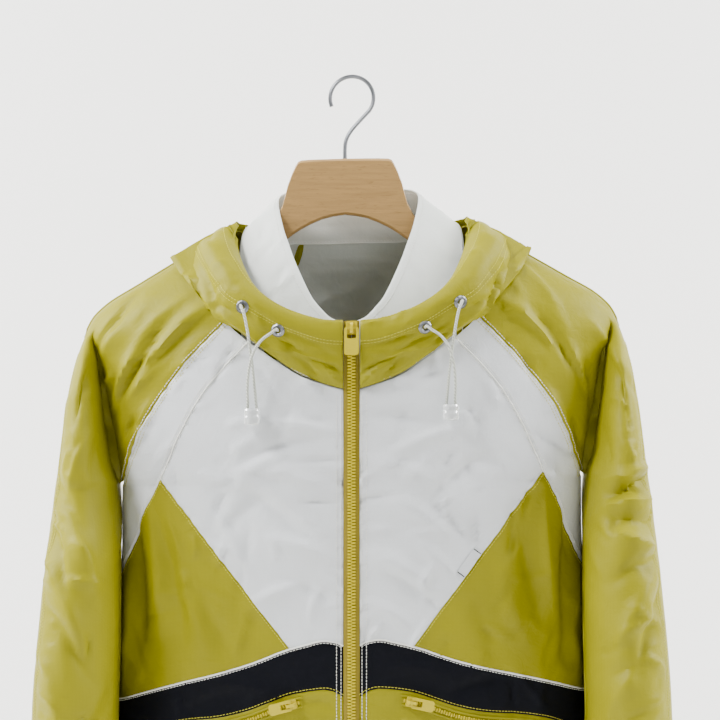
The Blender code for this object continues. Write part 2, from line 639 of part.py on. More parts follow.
def hood(u, v):
    """Point of the hood: u counts ribs from the zip to the centre back, v from its seam to its edge."""
    ribs = [spline(HOOD[name], u) for name in HOOD_RIBS]
    p = spline(ribs, v)
    if u < HOOD_SEATED:
        seated = body("front", to_angle(p[0], p[2]), p[2])[1] - WALL - 2 * LAY
        p[1] += (seated - p[1]) * (1 - ease(2 * v))
    return clear_of_body(p, 2.2 + 2.3 * ease(2 * v) if v < 1.6 else 3.0)


def hood_at(x, z):
    """Point and outward direction of the hood's front where it shows at (x, z)."""
    best = min(((u, v) for u in np.arange(0, 9, 0.25) for v in np.arange(1, 3.9, 0.1)),
               key=lambda uv: np.hypot(*(hood(*uv)[[0, 2]] - (x, z))))
    p = hood(*best)
    n = np.cross(hood(best[0] + 0.3, best[1]) - hood(best[0] - 0.3, best[1]),
                 hood(best[0], best[1] + 0.1) - hood(best[0], best[1] - 0.1))
    n = unit(n if n[1] < 0 else -n)
    p[1] -= ((x - p[0]) * n[0] + (z - p[2]) * n[2]) / n[1]
    return np.array([x, p[1], z]), n


def hoods():
    steps = 8
    side_us = [0, 0.9, 1.8, 2.7, 3.6, 4.5, 5.4, 6.3, 7.2, 7.8,
               8.3, 8.65, 8.95, 9.2, 9.45, 9.7, HOOD_SPLIT]
    last = len(HOOD["seam"]) - 1
    half = [HOOD_SPLIT + k * (last - HOOD_SPLIT) / 5 for k in range(6)]
    for name, us in (("hood_side", side_us), ("hood_centre", half)):
        rows = [[hood(u, 4 * k / steps) for k in range(steps + 1)] for u in us]
        if name == "hood_centre":
            rows += [[p * (-1, 1, 1) for p in row] for row in rows[-2::-1]]
        gap = 0.45 if name == "hood_side" else 0.9
        grid = inset(np.array(rows), left=False, right=False, top=name == "hood_centre", by=gap)
        points, faces = grid.reshape(-1, 3), grid_faces(len(rows), steps + 1)
        like = np.zeros_like(points)
        like[:, 1] = -1 if name == "hood_side" else 1
        if name == "hood_centre":
            like = [(0, float(i % (steps + 1) > steps / 2), 0) for i in range(len(points))]
        normals = mesh_normals(points, faces, like)
        if name == "hood_side":
            for side in (-1, 1):
                wall(f"{name}_{'L' if side > 0 else 'R'}", points, normals, faces, "shell", side)
        else:
            wall(name, points, normals, faces, "shell")


def collar():
    count = len(COLLAR["low"])
    us = [k * (count - 1) / 15 for k in range(16)]
    heights = 3
    rows = []
    for u in us:
        low, high = spline(COLLAR["low"], u), spline(COLLAR["high"], u)
        rows.append([low + (high - low) * k / heights for k in range(heights + 1)])
    rows += [[p * (-1, 1, 1) for p in row] for row in rows[-2::-1]]
    for row in rows:
        for k, p in enumerate(row):
            row[k] = p + np.array([COLLAR_SHIFT * k / heights, 0, 0])
    points, faces = np.array(rows).reshape(-1, 3), grid_faces(len(rows), heights + 1)
    out = points * (1, 1, 0) + (0, 10, 0)
    wall("collar", points, mesh_normals(points, faces, out), faces, "white")


# ---------------------------------------------------------------- zips, label and hardware
def bar(name, rings, kind, side=1, origin=(0, 0, 0)):
    """Closed solid through a row of rings with equal numbers of points."""
    r = [np.array(ring, float) for ring in rings]
    m = len(r[0])
    points = np.vstack(r)
    faces = grid_faces(len(r), m, closed=True)
    for base, flip in ((0, True), ((len(r) - 1) * m, False)):
        for k in range(1, m - 1):
            f = (base, base + k, base + k + 1)
            faces.append(f[::-1] if flip else f)
    if volume(points, faces) < 0:
        faces = [f[::-1] for f in faces]
    return add(name, points, faces, kind, side, origin)


def zip_y(x, z):
    """Front face of the zip tape and of the fronts beside it."""
    if z > ZIP_LINE["z"][-1]:
        return ZIP_Y(z)
    return body("front", to_angle(x, z), z)[1]


def front_zip():
    heights = [ZIP_TOP_Z, -226, -240, -256, -272, -300, -345, -391, -440, -489, -532, -583, -635,
               -687, -738, -790, HEM_END_Z]
    for side in (-1, 1):
        tag = "L" if side > 0 else "R"
        tape, teeth = [], []
        for z in heights:
            y0, y1 = zip_y(4.0, z), zip_y(TAPE_HALF, z)
            tape.append([(GAP, y0, z), (TAPE_HALF, y1, z), (TAPE_HALF, y1 + 1.0, z), (GAP, y0 + 1.0, z)])
            front = y0 - ON_TOP
            crown = front - TEETH_UP
            teeth.append([(GAP, front, z), (GAP, crown, z), (TEETH_HALF - 0.7, crown, z),
                          (TEETH_HALF, front - 1.2, z), (TEETH_HALF, front, z)])
        bar(f"zip_tape_{tag}", tape, "tape", side)
        last = [[(x, y, z + STOP_H) for x, y, z in teeth[-1]]]
        bar(f"zip_teeth_{tag}", teeth[:-1] + last, "teeth", side)
    z, y = HEM_END_Z + 3.0, zip_y(4.0, HEM_END_Z) - ON_TOP
    block("zip_stop", (0, y - 1.5, z), (8.6, 3.0, STOP_H - 0.5), "teeth")


def block(name, centre, size, kind, bevel=0.5):
    """Box with broken edges."""
    profile = []
    hx, hy, hz = (v / 2 for v in size)
    for k, inset_by in ((-1, bevel), (-1, 0), (1, 0), (1, bevel)):
        z = k * (hz if inset_by else hz - bevel)
        a, b = hx - inset_by, hy - inset_by
        ring = [(a - bevel, -b), (a, -b + bevel), (a, b - bevel), (a - bevel, b)]
        ring += [(-x, -y) for x, y in ring]
        profile.append([np.array(centre) + (x, y, z) for x, y in ring])
    bar(name, profile, kind, 1, centre)


def frame_plate(name, pivot, axes, kind, side, length, width, thick):
    """Pull tab with a window at its upper end; its joint axis is the window's top bar.

    axes: across, outwards and along the tab, from the pivot towards the free end.
    """
    half, bar_w, win, top = width / 2, 1.7, 9.0, 0.8
    outline_out, outline_in = [], []
    corner = 2.2
    for cx, cy, start in ((half - corner, length - corner, 0), (-half + corner, length - corner, 90),
                          (-half + corner, corner - top, 180), (half - corner, corner - top, 270)):
        for k in range(4):
            a = math.radians(start + 30 * k)
            outline_out.append((cx + corner * math.cos(a), cy + corner * math.sin(a)))
    inner_half = half - bar_w - 0.7
    soft = 1.0
    for cx, cy, start in ((inner_half - soft, win - soft, 0), (-inner_half + soft, win - soft, 90),
                          (-inner_half + soft, top + soft, 180), (inner_half - soft, top + soft, 270)):
        for k in range(4):
            a = math.radians(start + 30 * k)
            outline_in.append((cx + soft * math.cos(a), cy + soft * math.sin(a)))
    rings = []
    for pts, w in ((outline_out, -1), (outline_out, 1), (outline_in, 1), (outline_in, -1)):
        rings.append([np.array(pivot) + np.array((x, w * thick / 2, y)) @ np.array(axes) for x, y in pts])
    points, m = np.vstack(rings), len(outline_out)
    faces = []
    for i in range(4):
        for j in range(m):
            a, b = i * m + j, i * m + (j + 1) % m
            c, d = ((i + 1) % 4) * m + j, ((i + 1) % 4) * m + (j + 1) % m
            faces += [(a, b, d), (a, d, c)]
    if volume(points, faces) < 0:
        faces = [f[::-1] for f in faces]
    return add(name, points, faces, kind, side, pivot)


def slider(name, seat, axes, kind, side, size, pivot_up):
    """Slider body with the bridge that its pull tab hangs from; seat is on the teeth's front face."""
    width, length = size
    seat, axes = np.array(seat, float), np.array(axes, float)
    half, high, soft = 1.3, 2.6, 1.2
    rise, foot = pivot_up + 2.6, high - 0.6
    # the body, as sections across it: (along, outwards)
    body_ring = [(-length / 2, 0), (length / 2, 0), (length / 2, high), (-length / 2, high)]
    rings = []
    for at, shrink in ((-width / 2, soft), (-width / 2 + soft, 0), (width / 2 - soft, 0), (width / 2, soft)):
        scale = 1 - shrink / length
        rings.append([seat + np.array((at, v, u * scale)) @ axes for u, v in body_ring])
    ob = bar(name, rings, kind, side, seat)
    # the bridge: its outer and inner outline (along, outwards), with the pull's bar between
    arch_out = [(-4.4, foot), (-4.2, rise - 1.4), (-2.6, rise), (2.6, rise), (4.2, rise - 1.4), (4.4, foot)]
    arch_in = [(-2.9, foot), (-2.7, rise - 1.9), (-2.0, rise - 1.2), (2.0, rise - 1.2), (2.7, rise - 1.9),
               (2.9, foot)]
    ring = arch_out + arch_in[::-1]
    points = np.array([seat + np.array((w, v, u)) @ axes for w in (-half, half) for u, v in ring])
    m = len(ring)
    faces = grid_faces(2, m, closed=True)
    for base, flip in ((0, True), (m, False)):
        for k in range(5):
            quad = (base + k, base + k + 1, base + m - 2 - k, base + m - 1 - k)
            if flip:
                quad = quad[::-1]
            faces += [quad[:3], (quad[0], quad[2], quad[3])]
    return ob, points, faces


def join(ob, points, faces, kind, side, origin):
    """Join a second closed shape to an object with an exact union."""
    if volume(points, faces) < 0:
        faces = [f[::-1] for f in faces]
    extra = add("extra", points, faces, kind, side, origin)
    mod = ob.modifiers.new("union", "BOOLEAN")
    mod.operation, mod.object = "UNION", extra
    extra.hide_render = True
    extra.display_type = "WIRE"


def pulls_and_sliders():
    tooth_front = ON_TOP + TEETH_UP + 0.3
    seat = (0, zip_y(4.0, PIVOT_Z) - tooth_front, PIVOT_Z + 2.0)
    down = [(1, 0, 0), (0, -1, 0), (0, 0, -1)]
    rise = 3.9
    body_parts = slider("zip_slider", seat, down, "teeth", 1, (9.6, 11.5), rise)
    join(*body_parts, "teeth", 1, seat)
    pivot = (0, seat[1] - rise - 0.15, seat[2])
    frame_plate("zip_pull", pivot, down, "teeth", 1, PULL["length"], PULL["width"], PULL["thick"])
    end = smooth(BAND_END, "x", "z")

    def below(x, drop):
        return x, end(x) - drop
    for side in (-1, 1):
        tag = "L" if side > 0 else "R"
        xs = np.linspace(POCKET["from"], POCKET["to"], 10)
        flat = np.array([[below(x, POCKET["drop"]), below(x, POCKET["drop"] + POCKET["width"])] for x in xs])
        body_panel("pocket_zip", flat.transpose(1, 0, 2), "teeth", sides=(side,), thick=1.4, lift=LAY + 1.4)
        x, z = below(POCKET["slider"], POCKET["drop"] + POCKET["width"] / 2)
        angle = to_angle(x, z)

        def on_front(a, b):
            return body("front", a, b)
        n = normal(on_front, angle, z, "front")
        before, ahead = (on_front(to_angle(a, b), b) for a, b in (below(x - 6, 8), below(x + 6, 8)))
        along = unit(ahead - before)
        n = unit(n - along * np.dot(n, along))
        axes = [np.cross(n, along), n, along]
        seat = on_front(angle, z) + n * (LAY + 1.4 + 0.35)
        parts = slider(f"pocket_slider_{tag}", seat, axes, "teeth", side, (8.0, 10.0), 3.7)
        join(*parts, "teeth", side, seat)
        frame_plate(f"pocket_pull_{tag}", seat + n * 3.85, axes, "teeth", side, POCKET["pull"], 9.4, 1.4)


def turned(name, centre, axis, outline, kind, side, sides=16):
    """Closed ring turned about an axis: outline rows are (radius, distance along the axis)."""
    axis = unit(np.array(axis, float))
    ref = unit(np.cross(axis, (0, 0, 1) if abs(axis[2]) < 0.9 else (1, 0, 0)))
    up = np.cross(axis, ref)
    points = []
    for k in range(sides):
        a = 2 * math.pi * k / sides
        out = ref * math.cos(a) + up * math.sin(a)
        points += [np.array(centre) + out * r + axis * h for r, h in outline]
    m = len(outline)
    faces = []
    for k in range(sides):
        for j in range(m):
            a, b = k * m + j, k * m + (j + 1) % m
            c, d = ((k + 1) % sides) * m + j, ((k + 1) % sides) * m + (j + 1) % m
            faces += [(a, b, d), (a, d, c)]
    if volume(np.array(points), faces) < 0:
        faces = [f[::-1] for f in faces]
    return add(name, points, faces, kind, side, centre)


def tube(name, route, width, kind, side):
    """Round cord or wire as a bevelled curve with filled ends through a list of points in mm."""
    curve = bpy.data.curves.new(name, "CURVE")
    curve.dimensions = "3D"
    curve.bevel_depth = width / 2 * MM
    curve.bevel_resolution = 2
    curve.use_fill_caps = True
    line = curve.splines.new("POLY")
    line.points.add(len(route) - 1)
    for point, (x, y, z) in zip(line.points, route):
        point.co = (x * side * MM, y * MM, (z + TILT * x * side) * MM, 1)
    ob = bpy.data.objects.new(name, curve)
    curve.materials.append(material(kind))
    bpy.context.collection.objects.link(ob)
    return ob


def cords():
    s = STOPPER
    for side in (-1, 1):
        tag = "L" if side > 0 else "R"
        ends = {}
        for which, (x, z) in EYELETS.items():
            p, n = hood_at(x, z)
            ring = [(EYELET_HOLE, ON_TOP), (EYELET_HOLE, 1.3), (EYELET_HOLE + 0.9, 1.9),
                    (EYELET_R - 1.2, 1.7), (EYELET_R, 0.6), (EYELET_R, ON_TOP)]
            turned(f"eyelet_{which}_{tag}", p, n, ring, "steel", side)
            ends[which] = (p + n * 0.5, p + n * 4.0)
        route = [ends["outer"][0], ends["outer"][1]] + CORD_ROUTE + [ends["inner"][1], ends["inner"][0]]
        count = 5 * (len(route) - 1)
        fine = [spline(route, k * (len(route) - 1) / count) for k in range(count + 1)]
        run = np.concatenate(([0], np.cumsum(np.linalg.norm(np.diff(fine, axis=0), axis=1))))
        at = np.linspace(0, run[-1], 60)
        even = np.column_stack([np.interp(at, run, np.array(fine)[:, k]) for k in range(3)])
        tube(f"drawcord_{tag}", even, CORD_D, "cord", side)
        r, b, h = s["r"], s["bore"], s["h"]
        cup = [(0.9, -h), (r - 1.6, -h), (r - 0.3, -h + 1.8), (r, -h * 0.55), (r - 0.6, 0), (b - 0.3, 0),
               (b, -h * 0.5), (b - 0.7, -h + 1.9), (0.9, -h + 1.5)]
        turned(f"cord_stopper_{tag}", (s["x"], s["y"], s["top"]), (0, 0, 1), cup, "clear", side, 14)


def label():
    (x0, x1), (z0, z1) = DIAGONAL["x"], DIAGONAL["z"]
    along = unit(np.array([x0 - x1, z0 - z1]))
    off = np.array([-along[1], along[0]])
    on_seam = np.array([x0 + (LABEL["height"] - z0) * (x0 - x1) / (z0 - z1), LABEL["height"]])
    centre = on_seam + off * LABEL["off"]
    flat = [[centre + along * LABEL["length"] * u + off * LABEL["width"] * v
             for u in (-0.5, -0.17, 0.17, 0.5)] for v in (-0.5, 0.5)]
    body_panel("label", np.array(flat), "white", sides=(1,), thick=0.5, lift=LAY + 0.5)


def hanger():
    top, low = smooth(HANGER_TOP, "x", "z"), smooth(HANGER_LOW, "x", "z")
    last = HANGER_TOP["x"][-1]
    xs = [0, 10, 20, 30, 38, 41, 43, 46, 50, 54.5, 60, 72, 90, 108, 130, 155, 180, last]
    mid = (top(last) + low(last)) / 2
    r = (top(last) - low(last)) / 2
    upper = [(x, top(x)) for x in xs] + [(last + r * 0.7, mid + r * 0.6)]
    lower = [(x, low(x)) for x in xs] + [(last + r * 0.7, mid - r * 0.6)]
    upper = [(-x, z) for x, z in upper[:0:-1]] + upper
    lower = [(-x, z) for x, z in lower[:0:-1]] + lower
    half, soft = HANGER_THICK / 2, 2.0
    rings = []
    for (x, zt), (_, zb) in zip(upper, lower):
        x += HANGER_X * (1 - ease((abs(x) - 60) / 60))
        section = [(-half, zt - soft), (-half + soft, zt), (half - soft, zt), (half, zt - soft),
                   (half, zb + soft), (half - soft, zb), (-half + soft, zb), (-half, zb + soft)]
        rings.append([(x, y, z) for y, z in section])
    bar("hanger", rings, "wood")
    centre_z = HOOK_WIRE / 2 - HOOK_R
    stem = [(HANGER_X, 0, HANGER_TOP["z"][0] + 0.4), (HANGER_X, 0, -62), (HANGER_X + 1, 0, -54),
            (HANGER_X + 6, 0, -45)]
    loop = [(HOOK_R * math.cos(math.radians(a)), 0, centre_z + HOOK_R * math.sin(math.radians(a)))
            for a in range(-50, 216, 14)]
    fine = [spline(stem + loop, t) for t in np.linspace(0, len(stem + loop) - 1, 60)]
    tube("hanger_hook", fine, HOOK_WIRE, "steel", 1)


band_end_z = fronts()
backs(band_end_z)
sleeve("front")
sleeve("back")
cuffs()
hoods()
collar()
front_zip()
pulls_and_sliders()
cords()
label()
hanger()
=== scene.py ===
"""Hooded nylon windbreaker on a contoured wooden hanger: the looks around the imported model.

Each piece of cloth is laid on the same surfaces as the model's plain solids, with its folds, puckers,
seams and stitches, and rides on the model's body. Lengths are in millimetres until a mesh is made.
"""
import json
import math

import bpy
import numpy as np
from bpy.props import FloatProperty, FloatVectorProperty, PointerProperty
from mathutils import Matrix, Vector

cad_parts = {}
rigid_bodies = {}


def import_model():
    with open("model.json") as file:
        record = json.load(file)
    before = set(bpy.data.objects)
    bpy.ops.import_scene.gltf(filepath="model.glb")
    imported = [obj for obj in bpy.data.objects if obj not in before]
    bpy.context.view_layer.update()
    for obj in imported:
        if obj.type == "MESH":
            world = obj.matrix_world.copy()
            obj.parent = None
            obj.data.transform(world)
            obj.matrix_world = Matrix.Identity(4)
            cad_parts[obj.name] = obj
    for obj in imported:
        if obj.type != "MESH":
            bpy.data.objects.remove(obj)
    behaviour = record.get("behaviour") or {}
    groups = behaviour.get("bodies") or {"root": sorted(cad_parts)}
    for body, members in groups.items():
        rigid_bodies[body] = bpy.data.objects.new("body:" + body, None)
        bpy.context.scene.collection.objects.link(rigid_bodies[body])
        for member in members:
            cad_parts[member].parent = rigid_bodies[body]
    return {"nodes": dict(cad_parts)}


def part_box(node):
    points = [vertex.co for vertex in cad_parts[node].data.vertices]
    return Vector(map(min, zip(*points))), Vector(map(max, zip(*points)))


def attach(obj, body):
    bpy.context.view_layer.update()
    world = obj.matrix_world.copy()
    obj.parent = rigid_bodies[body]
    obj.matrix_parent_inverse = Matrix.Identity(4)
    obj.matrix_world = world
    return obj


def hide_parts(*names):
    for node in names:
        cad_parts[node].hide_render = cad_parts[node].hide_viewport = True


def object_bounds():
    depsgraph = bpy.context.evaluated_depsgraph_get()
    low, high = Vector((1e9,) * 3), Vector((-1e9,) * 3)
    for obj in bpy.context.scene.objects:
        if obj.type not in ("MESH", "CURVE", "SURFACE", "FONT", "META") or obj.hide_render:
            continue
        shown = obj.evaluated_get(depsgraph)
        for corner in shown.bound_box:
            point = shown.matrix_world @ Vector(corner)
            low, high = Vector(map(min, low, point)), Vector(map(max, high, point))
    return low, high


bl_info = {
    "name": "Windbreaker on a hanger",
    "version": (1, 0, 0),
    "blender": (4, 5, 0),
    "location": "3D View > Sidebar > Jacket",
    "description": "Cloth, zips, cords and stage for a hooded windbreaker on a wooden hanger",
    "category": "Add Mesh",
}

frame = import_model()
cad_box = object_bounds()
BODY_NAME = "jacket"

# ---------------------------------------------------------------- sizes, in mm
MM = 0.001
WALL = 1.0            # cloth with its lining
TILT = 0.022          # the hanger hangs with the wearer's left side a little higher
ROUND = 2.6           # exponent of the body's flattened oval section
SHOULDER_Z, ARMPIT_Z = -207.6, -352.0
NECK_SIDE_Z, BACK_NECK_Z = -131.0, -141.0
HEM_Z, HEM_END_Z = -790.0, -832.0
CUFF_Z, CUFF_END_Z = -792.0, -830.0
ZIP_TOP_Z, SLIDER_END_Z = -213.5, -227.5
PANEL_X = 7.1         # where the fronts start, beside the zip
SIDE_BACK = 14.0      # how far the side seam sits behind the middle
VALLEY = 12.0         # half thickness of the fold between body and sleeve
CLOTH_STEP = 3.4      # spacing of the cloth's points
ROLL = 2.2            # a seam's edge rolls in over this much
ROLL_DEPTH = 0.65
EDGE_ON = 0.55        # folds fade where the cloth's normal points forward less than this
UNDERARM_X = 200.0    # where the sleeve's underarm seam starts
OVERARM_TOP_Z = -236.0
OVERARM_INSET = 15.0  # how far the overarm seam sits inside the sleeve's outline
STRIP_TIP_Z = -430.0  # lower end of the raglan strip
STITCH = 2.9          # spacing of the topstitches
FOLD_SCALE = 1.25     # all folds
# how much taller each group of folds is drawn than its table says
GAIN = {"front": 2.1, "back": 1.9, "crumple": 1.9, "hood": 1.7}
BUNCH = 130.0         # mm of cloth to a radian, where pieces are laid out by angle

# Body section at each height: distance of the side edge, depth of the front and of the back
BODY = {
    "z":     [-127, -140, -160, -178, -194, -207.6, -240, -264,
              -288, -309, -330, -352, -434, -540, -650, -832],
    "edge":  [102, 123, 157, 187.5, 214, 227.4, 219, 214.5, 210.5, 206, 202.5, 201, 203.6, 206, 208, 209],
    "outer": [102, 123, 157, 187.5, 214, 227.4, 239.5, 245, 248.7, 251.4, 253.8, 256.5, 266, 274, 278, 278],
    "front": [9, 20, 36, 47, 54, 58, 62.5, 65, 66.5, 67.5, 68, 68, 67, 65, 62, 58],
    "back":  [9, 30, 40, 47, 51, 53, 57, 58.5, 60, 60.5, 61, 61, 60, 58, 56, 54],
}
# Sleeve section: inner and outer edge, foremost and rearmost point, middle of its depth
SLEEVE = {
    "z":     [-207.6, -220, -240, -264, -288, -309, -330, -352, -400, -450, -550, -650, -740, -790, -832],
    "inner": [224, 222.5, 221.5, 218.5, 216, 213, 210, 203.5, 200.5, 200, 202, 204, 208, 213, 219],
    "outer": [227.4, 233, 239.5, 245, 248.7, 251.4, 253.8, 256.5, 262, 267.5, 275.5, 278, 277, 272, 266],
    "fore":  [-10, -20, -36, -50, -60, -67, -72, -78, -84, -88, -90, -87, -80, -70, -62],
    "aft":   [10, 18, 32, 44, 51, 56, 59, 62, 60, 58, 54, 46, 36, 22, 14],
    "mid":   [0, -1, -4, -8, -11, -13, -16, -22, -27, -30, -31, -32, -32, -30, -27],
}
# Seam lines on the front, as distance from the centre front and height
NECK_LINE = {"x": [7.1, 18.7, 40.8, 63.8, 76, 88], "z": [-271.9, -268.5, -260.8, -246.4, -237.5, -229.5]}
NECK_CORNER = {"x": [88, 94.5, 101, 108], "z": [-229.5, -224, -218.3, -211.1]}
NECK_SIDE = {"z": [-211.1, -185, -160, -131], "x": [108, 109, 106.5, 103]}
RAGLAN = {"z": [-211.1, -249.4, -284.2, -305, -329.3, -343, -352],
          "x": [108, 144.5, 170, 181, 192, 198, 200.9]}
INNER_SEAM = {"x": [88, 110.5, 127.5, 144.5, 156.8, 164.2],
              "z": [-229.5, -252.3, -273.2, -302, -328.8, -345.8]}
STRIP_END = {"x": [164.2, 172.1, 187.9, 203.5], "z": [-345.8, -360.7, -396.4, -434]}
DIAGONAL = {"x": [164.2, 52.3], "z": [-345.8, -491]}
BAND_TOP = {"x": [7.1, 12.8, 23.8, 38.3, 52.3, 85, 114.8, 146.2, 176, 206],
            "z": [-489, -486.1, -484.4, -487.5, -491, -503.1, -512, -520.1, -529, -540]}
BAND_END = {"x": [7.1, 12.8, 22.1, 34, 52.3, 69.7, 91, 114.8, 140.3, 164, 206.5],
            "z": [-532.4, -528.6, -526, -526.9, -530, -536.2, -543.9, -549.4, -552.4, -557.1, -577]}
BACK_RAGLAN = {"z": [-141, -170, -211.1, -250, -288, -320, -343, -352],
               "x": [88, 100, 122, 148, 172, 188, 198, 200.9]}
TOOTH = {"pitch": 2.7, "wide": 3.9, "tall": 1.75, "deep": 2.4}
ZIP_LINE = {"z": [-213.5, -240, -271.9], "y": [-68.5, -68.5, -65.7]}

# Hood ribs from the zip round to the centre back, each row one line round the neck (x, y, z)
HOOD = {
    "seam":  [(7.2, -68.2, -271), (24, -68.1, -266), (45, -67, -257), (66, -64.5, -243),
              (86, -61, -228), (100, -56.5, -214), (103.5, -50, -202), (104.5, -40, -183),
              (103, -26, -160), (100, -9, -131), (93, 16, -126), (64, 33.5, -136), (32, 38, -138.5),
              (0, 39, -139)],
    "rest":  [(7.2, -71.5, -256), (24, -71.5, -252), (45.5, -71, -244), (67.5, -69.5, -235),
              (89, -66.5, -222.5), (109, -60.5, -211.5), (121, -53.5, -200), (133, -42, -186),
              (144, -25, -171), (150.5, -1, -157), (147, 48, -168), (112, 62, -215), (62, 66, -252),
              (0, 67, -262)],
    "fold":  [(7.2, -73, -240), (24, -73.5, -238), (44.5, -75, -231), (65, -75, -222),
              (88, -72, -209.5), (107.5, -66, -200), (118.5, -58, -189), (129.5, -45, -175),
              (139, -24, -160), (144.5, 6, -148.5), (144, 62, -170), (116, 80, -235), (66, 86, -283),
              (0, 88, -296)],
    "crest": [(7.2, -74.5, -224), (24, -75.5, -222), (43.5, -77.5, -216), (63, -77.5, -208),
              (82.5, -75, -195), (99, -69, -182.5), (108.5, -61, -170), (117.5, -47, -156),
              (124, -28, -142), (127, 8, -136.5), (124, 68, -148), (104, 98, -190), (60, 112, -220),
              (0, 116, -228)],
    "edge":  [(7.2, -71.5, -213.2), (24, -72, -212), (41, -73, -207.3), (60, -72.5, -199.5),
              (77, -68.5, -188), (89, -62, -175), (97.5, -53, -162), (104, -41, -151),
              (108.5, -26, -139), (110, -2, -128), (104, 52, -128.5), (82, 88, -142),
              (45, 104, -150), (0, 108, -152)],
    "turn":  [(7.2, -66.5, -216.5), (24, -67, -215.5), (40, -67, -211), (57, -65.5, -204),
              (72, -61, -193), (83, -54.5, -181), (90, -46, -169), (95, -34, -158), (98.5, -20, -147),
              (99, -2, -137), (92, 46, -137), (72, 78, -150), (40, 93, -157), (0, 97, -159)],
}
# The drawcord's channel and its rows of stitches, placed across the hood as v is; proud is in mm
CHANNEL = {"from": 2.35, "to": 3.75, "proud": 0.9, "rows": (2.42, 2.62, 3.86)}
HOOD_SPLIT = 10       # rib at which the side pieces meet the centre piece

# Stand collar, from the centre front round to the centre back: neck edge and upper edge (x, y, z)
COLLAR = {
    "low":  [(6.5, -62.5, -268), (24, -62.5, -263), (45, -61, -253), (66, -58, -239), (84, -53, -222),
             (93, -45, -205), (98, -33, -184), (98.5, -19, -161), (95.5, -3, -132), (86, 12, -132),
             (58, 26.3, -142.5), (0, 28.6, -143.5)],
    "high": [(6.5, -53.5, -213.5), (15.3, -52.5, -209.8), (24, -50, -201), (31, -47, -192),
             (39, -42, -176), (46, -35, -160), (51.5, -27, -145), (57, -17, -129), (61.5, 0, -106),
             (56, 13, -97.5), (33, 23, -96.5), (0, 26.0, -97)],
}
COLLAR_TALL = 40.0    # mm that the folds take the collar to be tall
COLLAR_SHIFT = -3.0   # the collar's upper edge leans this much to the wearer's right

# Drawcord from the outer eyelet down into its stopper, round, and up to the inner eyelet (x, y, z)
CORD_D = 2.4
CORD_ROUTE = [(90.5, -80, -206), (88, -79.5, -218), (85.9, -77.5, -232), (83.3, -75, -253),
              (81.8, -73.5, -268), (80.6, -73, -281), (79.9, -73, -289), (81.2, -73, -294.2),
              (83.9, -73, -296), (86.6, -73, -294.2), (87.9, -73, -289), (87.5, -73.5, -281),
              (87.8, -75.5, -269), (86.6, -79, -255), (84, -82, -243), (79.6, -82.5, -233.5),
              (74, -82, -227), (68, -81, -223)]
POCKET = {"from": 42.0, "to": 176.0, "drop": 3.5, "width": 9.0}
LABEL = {"height": -424.3, "length": 27.0, "width": 8.0, "off": 4.8}

# Colours as the eye sees them, sRGB
COLOURS = {
    "shell": ("#918B00", "Yellow shell", "Dyed nylon of the back, sleeves, hood and lower fronts"),
    "white": ("#DDE0E2", "White chest", "Nylon of the chest panels and raglan strips"),
    "navy": ("#04060F", "Navy band", "Nylon of the band across the fronts"),
    "lining": ("#E4E8E2", "Lining", "Collar and back lining"),
    "tape": ("#94820A", "Zip tape", "Woven tape of the zips"),
    "teeth": ("#C6B414", "Zip teeth", "Moulded teeth, sliders and pulls"),
    # the white thread's colour also paints the highlights along the band's upper seam and the inner seam
    "thread": ("#EDEDE6", "White thread", "Topstitching and piping on the white panels"),
    "gold_thread": ("#C4BD30", "Yellow thread", "Topstitching on the yellow panels"),
    "cord": ("#C5C8BC", "Cord", "Braided drawcord"),
    "steel": ("#8A8C90", "Steel", "Eyelets and hook"),
    "wood": ("#A9854F", "Wood", "Hanger"),
    "clear": ("#E9ECEC", "Stoppers", "Cord stoppers"),
    "studio": ("#F4F3F0", "Studio", "Floor and wall"),
}


# ---------------------------------------------------------------- curves
def smooth(table, key, column):
    """Monotone cubic through one column of a table."""
    x, y = np.array(table[key], float), np.array(table[column], float)
    if x[0] > x[-1]:
        x, y = x[::-1], y[::-1]
    h = np.diff(x)
    d = np.diff(y) / h
    m = np.concatenate(([d[0]], np.zeros(len(x) - 2), [d[-1]]))
    for i in range(1, len(x) - 1):
        if d[i - 1] * d[i] > 0:
            a, b = 2 * h[i] + h[i - 1], h[i] + 2 * h[i - 1]
            m[i] = (a + b) / (a / d[i - 1] + b / d[i])

    def value(t):
        t = np.clip(t, x[0], x[-1])
        i = np.clip(np.searchsorted(x, t) - 1, 0, len(x) - 2)
        s = (t - x[i]) / h[i]
        return (y[i] * (1 + 2 * s) * (1 - s) ** 2 + m[i] * h[i] * s * (1 - s) ** 2
                + y[i + 1] * s * s * (3 - 2 * s) + m[i + 1] * h[i] * s * s * (s - 1))
    return value


def spline(points, t):
    """Catmull-Rom through points at the places t, each from 0 to len - 1."""
    p, t = np.asarray(points, float), np.atleast_1d(np.asarray(t, float))
    i = np.clip(np.floor(t).astype(int), 0, len(p) - 2)
    s = (t - i)[:, None]
    a, b, c, d = p[np.maximum(i - 1, 0)], p[i], p[i + 1], p[np.minimum(i + 2, len(p) - 1)]
    return 0.5 * (2 * b + (c - a) * s + (2 * a - 5 * b + 4 * c - d) * s * s
                  + (3 * b - a - 3 * c + d) * s ** 3)


def ease(t):
    t = np.clip(t, 0.0, 1.0)
    return t * t * (3 - 2 * t)


def unit(v):
    v = np.asarray(v, float)
    return v / np.maximum(np.linalg.norm(v, axis=-1, keepdims=True), 1e-9)


def evenly(line, count):
    """count + 1 points spread evenly along a line of points."""
    line = np.asarray(line, float)
    run = np.concatenate(([0], np.cumsum(np.linalg.norm(np.diff(line, axis=0), axis=1))))
    at = np.linspace(0, run[-1], count + 1)
    return np.column_stack([np.interp(at, run, line[:, k]) for k in range(line.shape[1])])


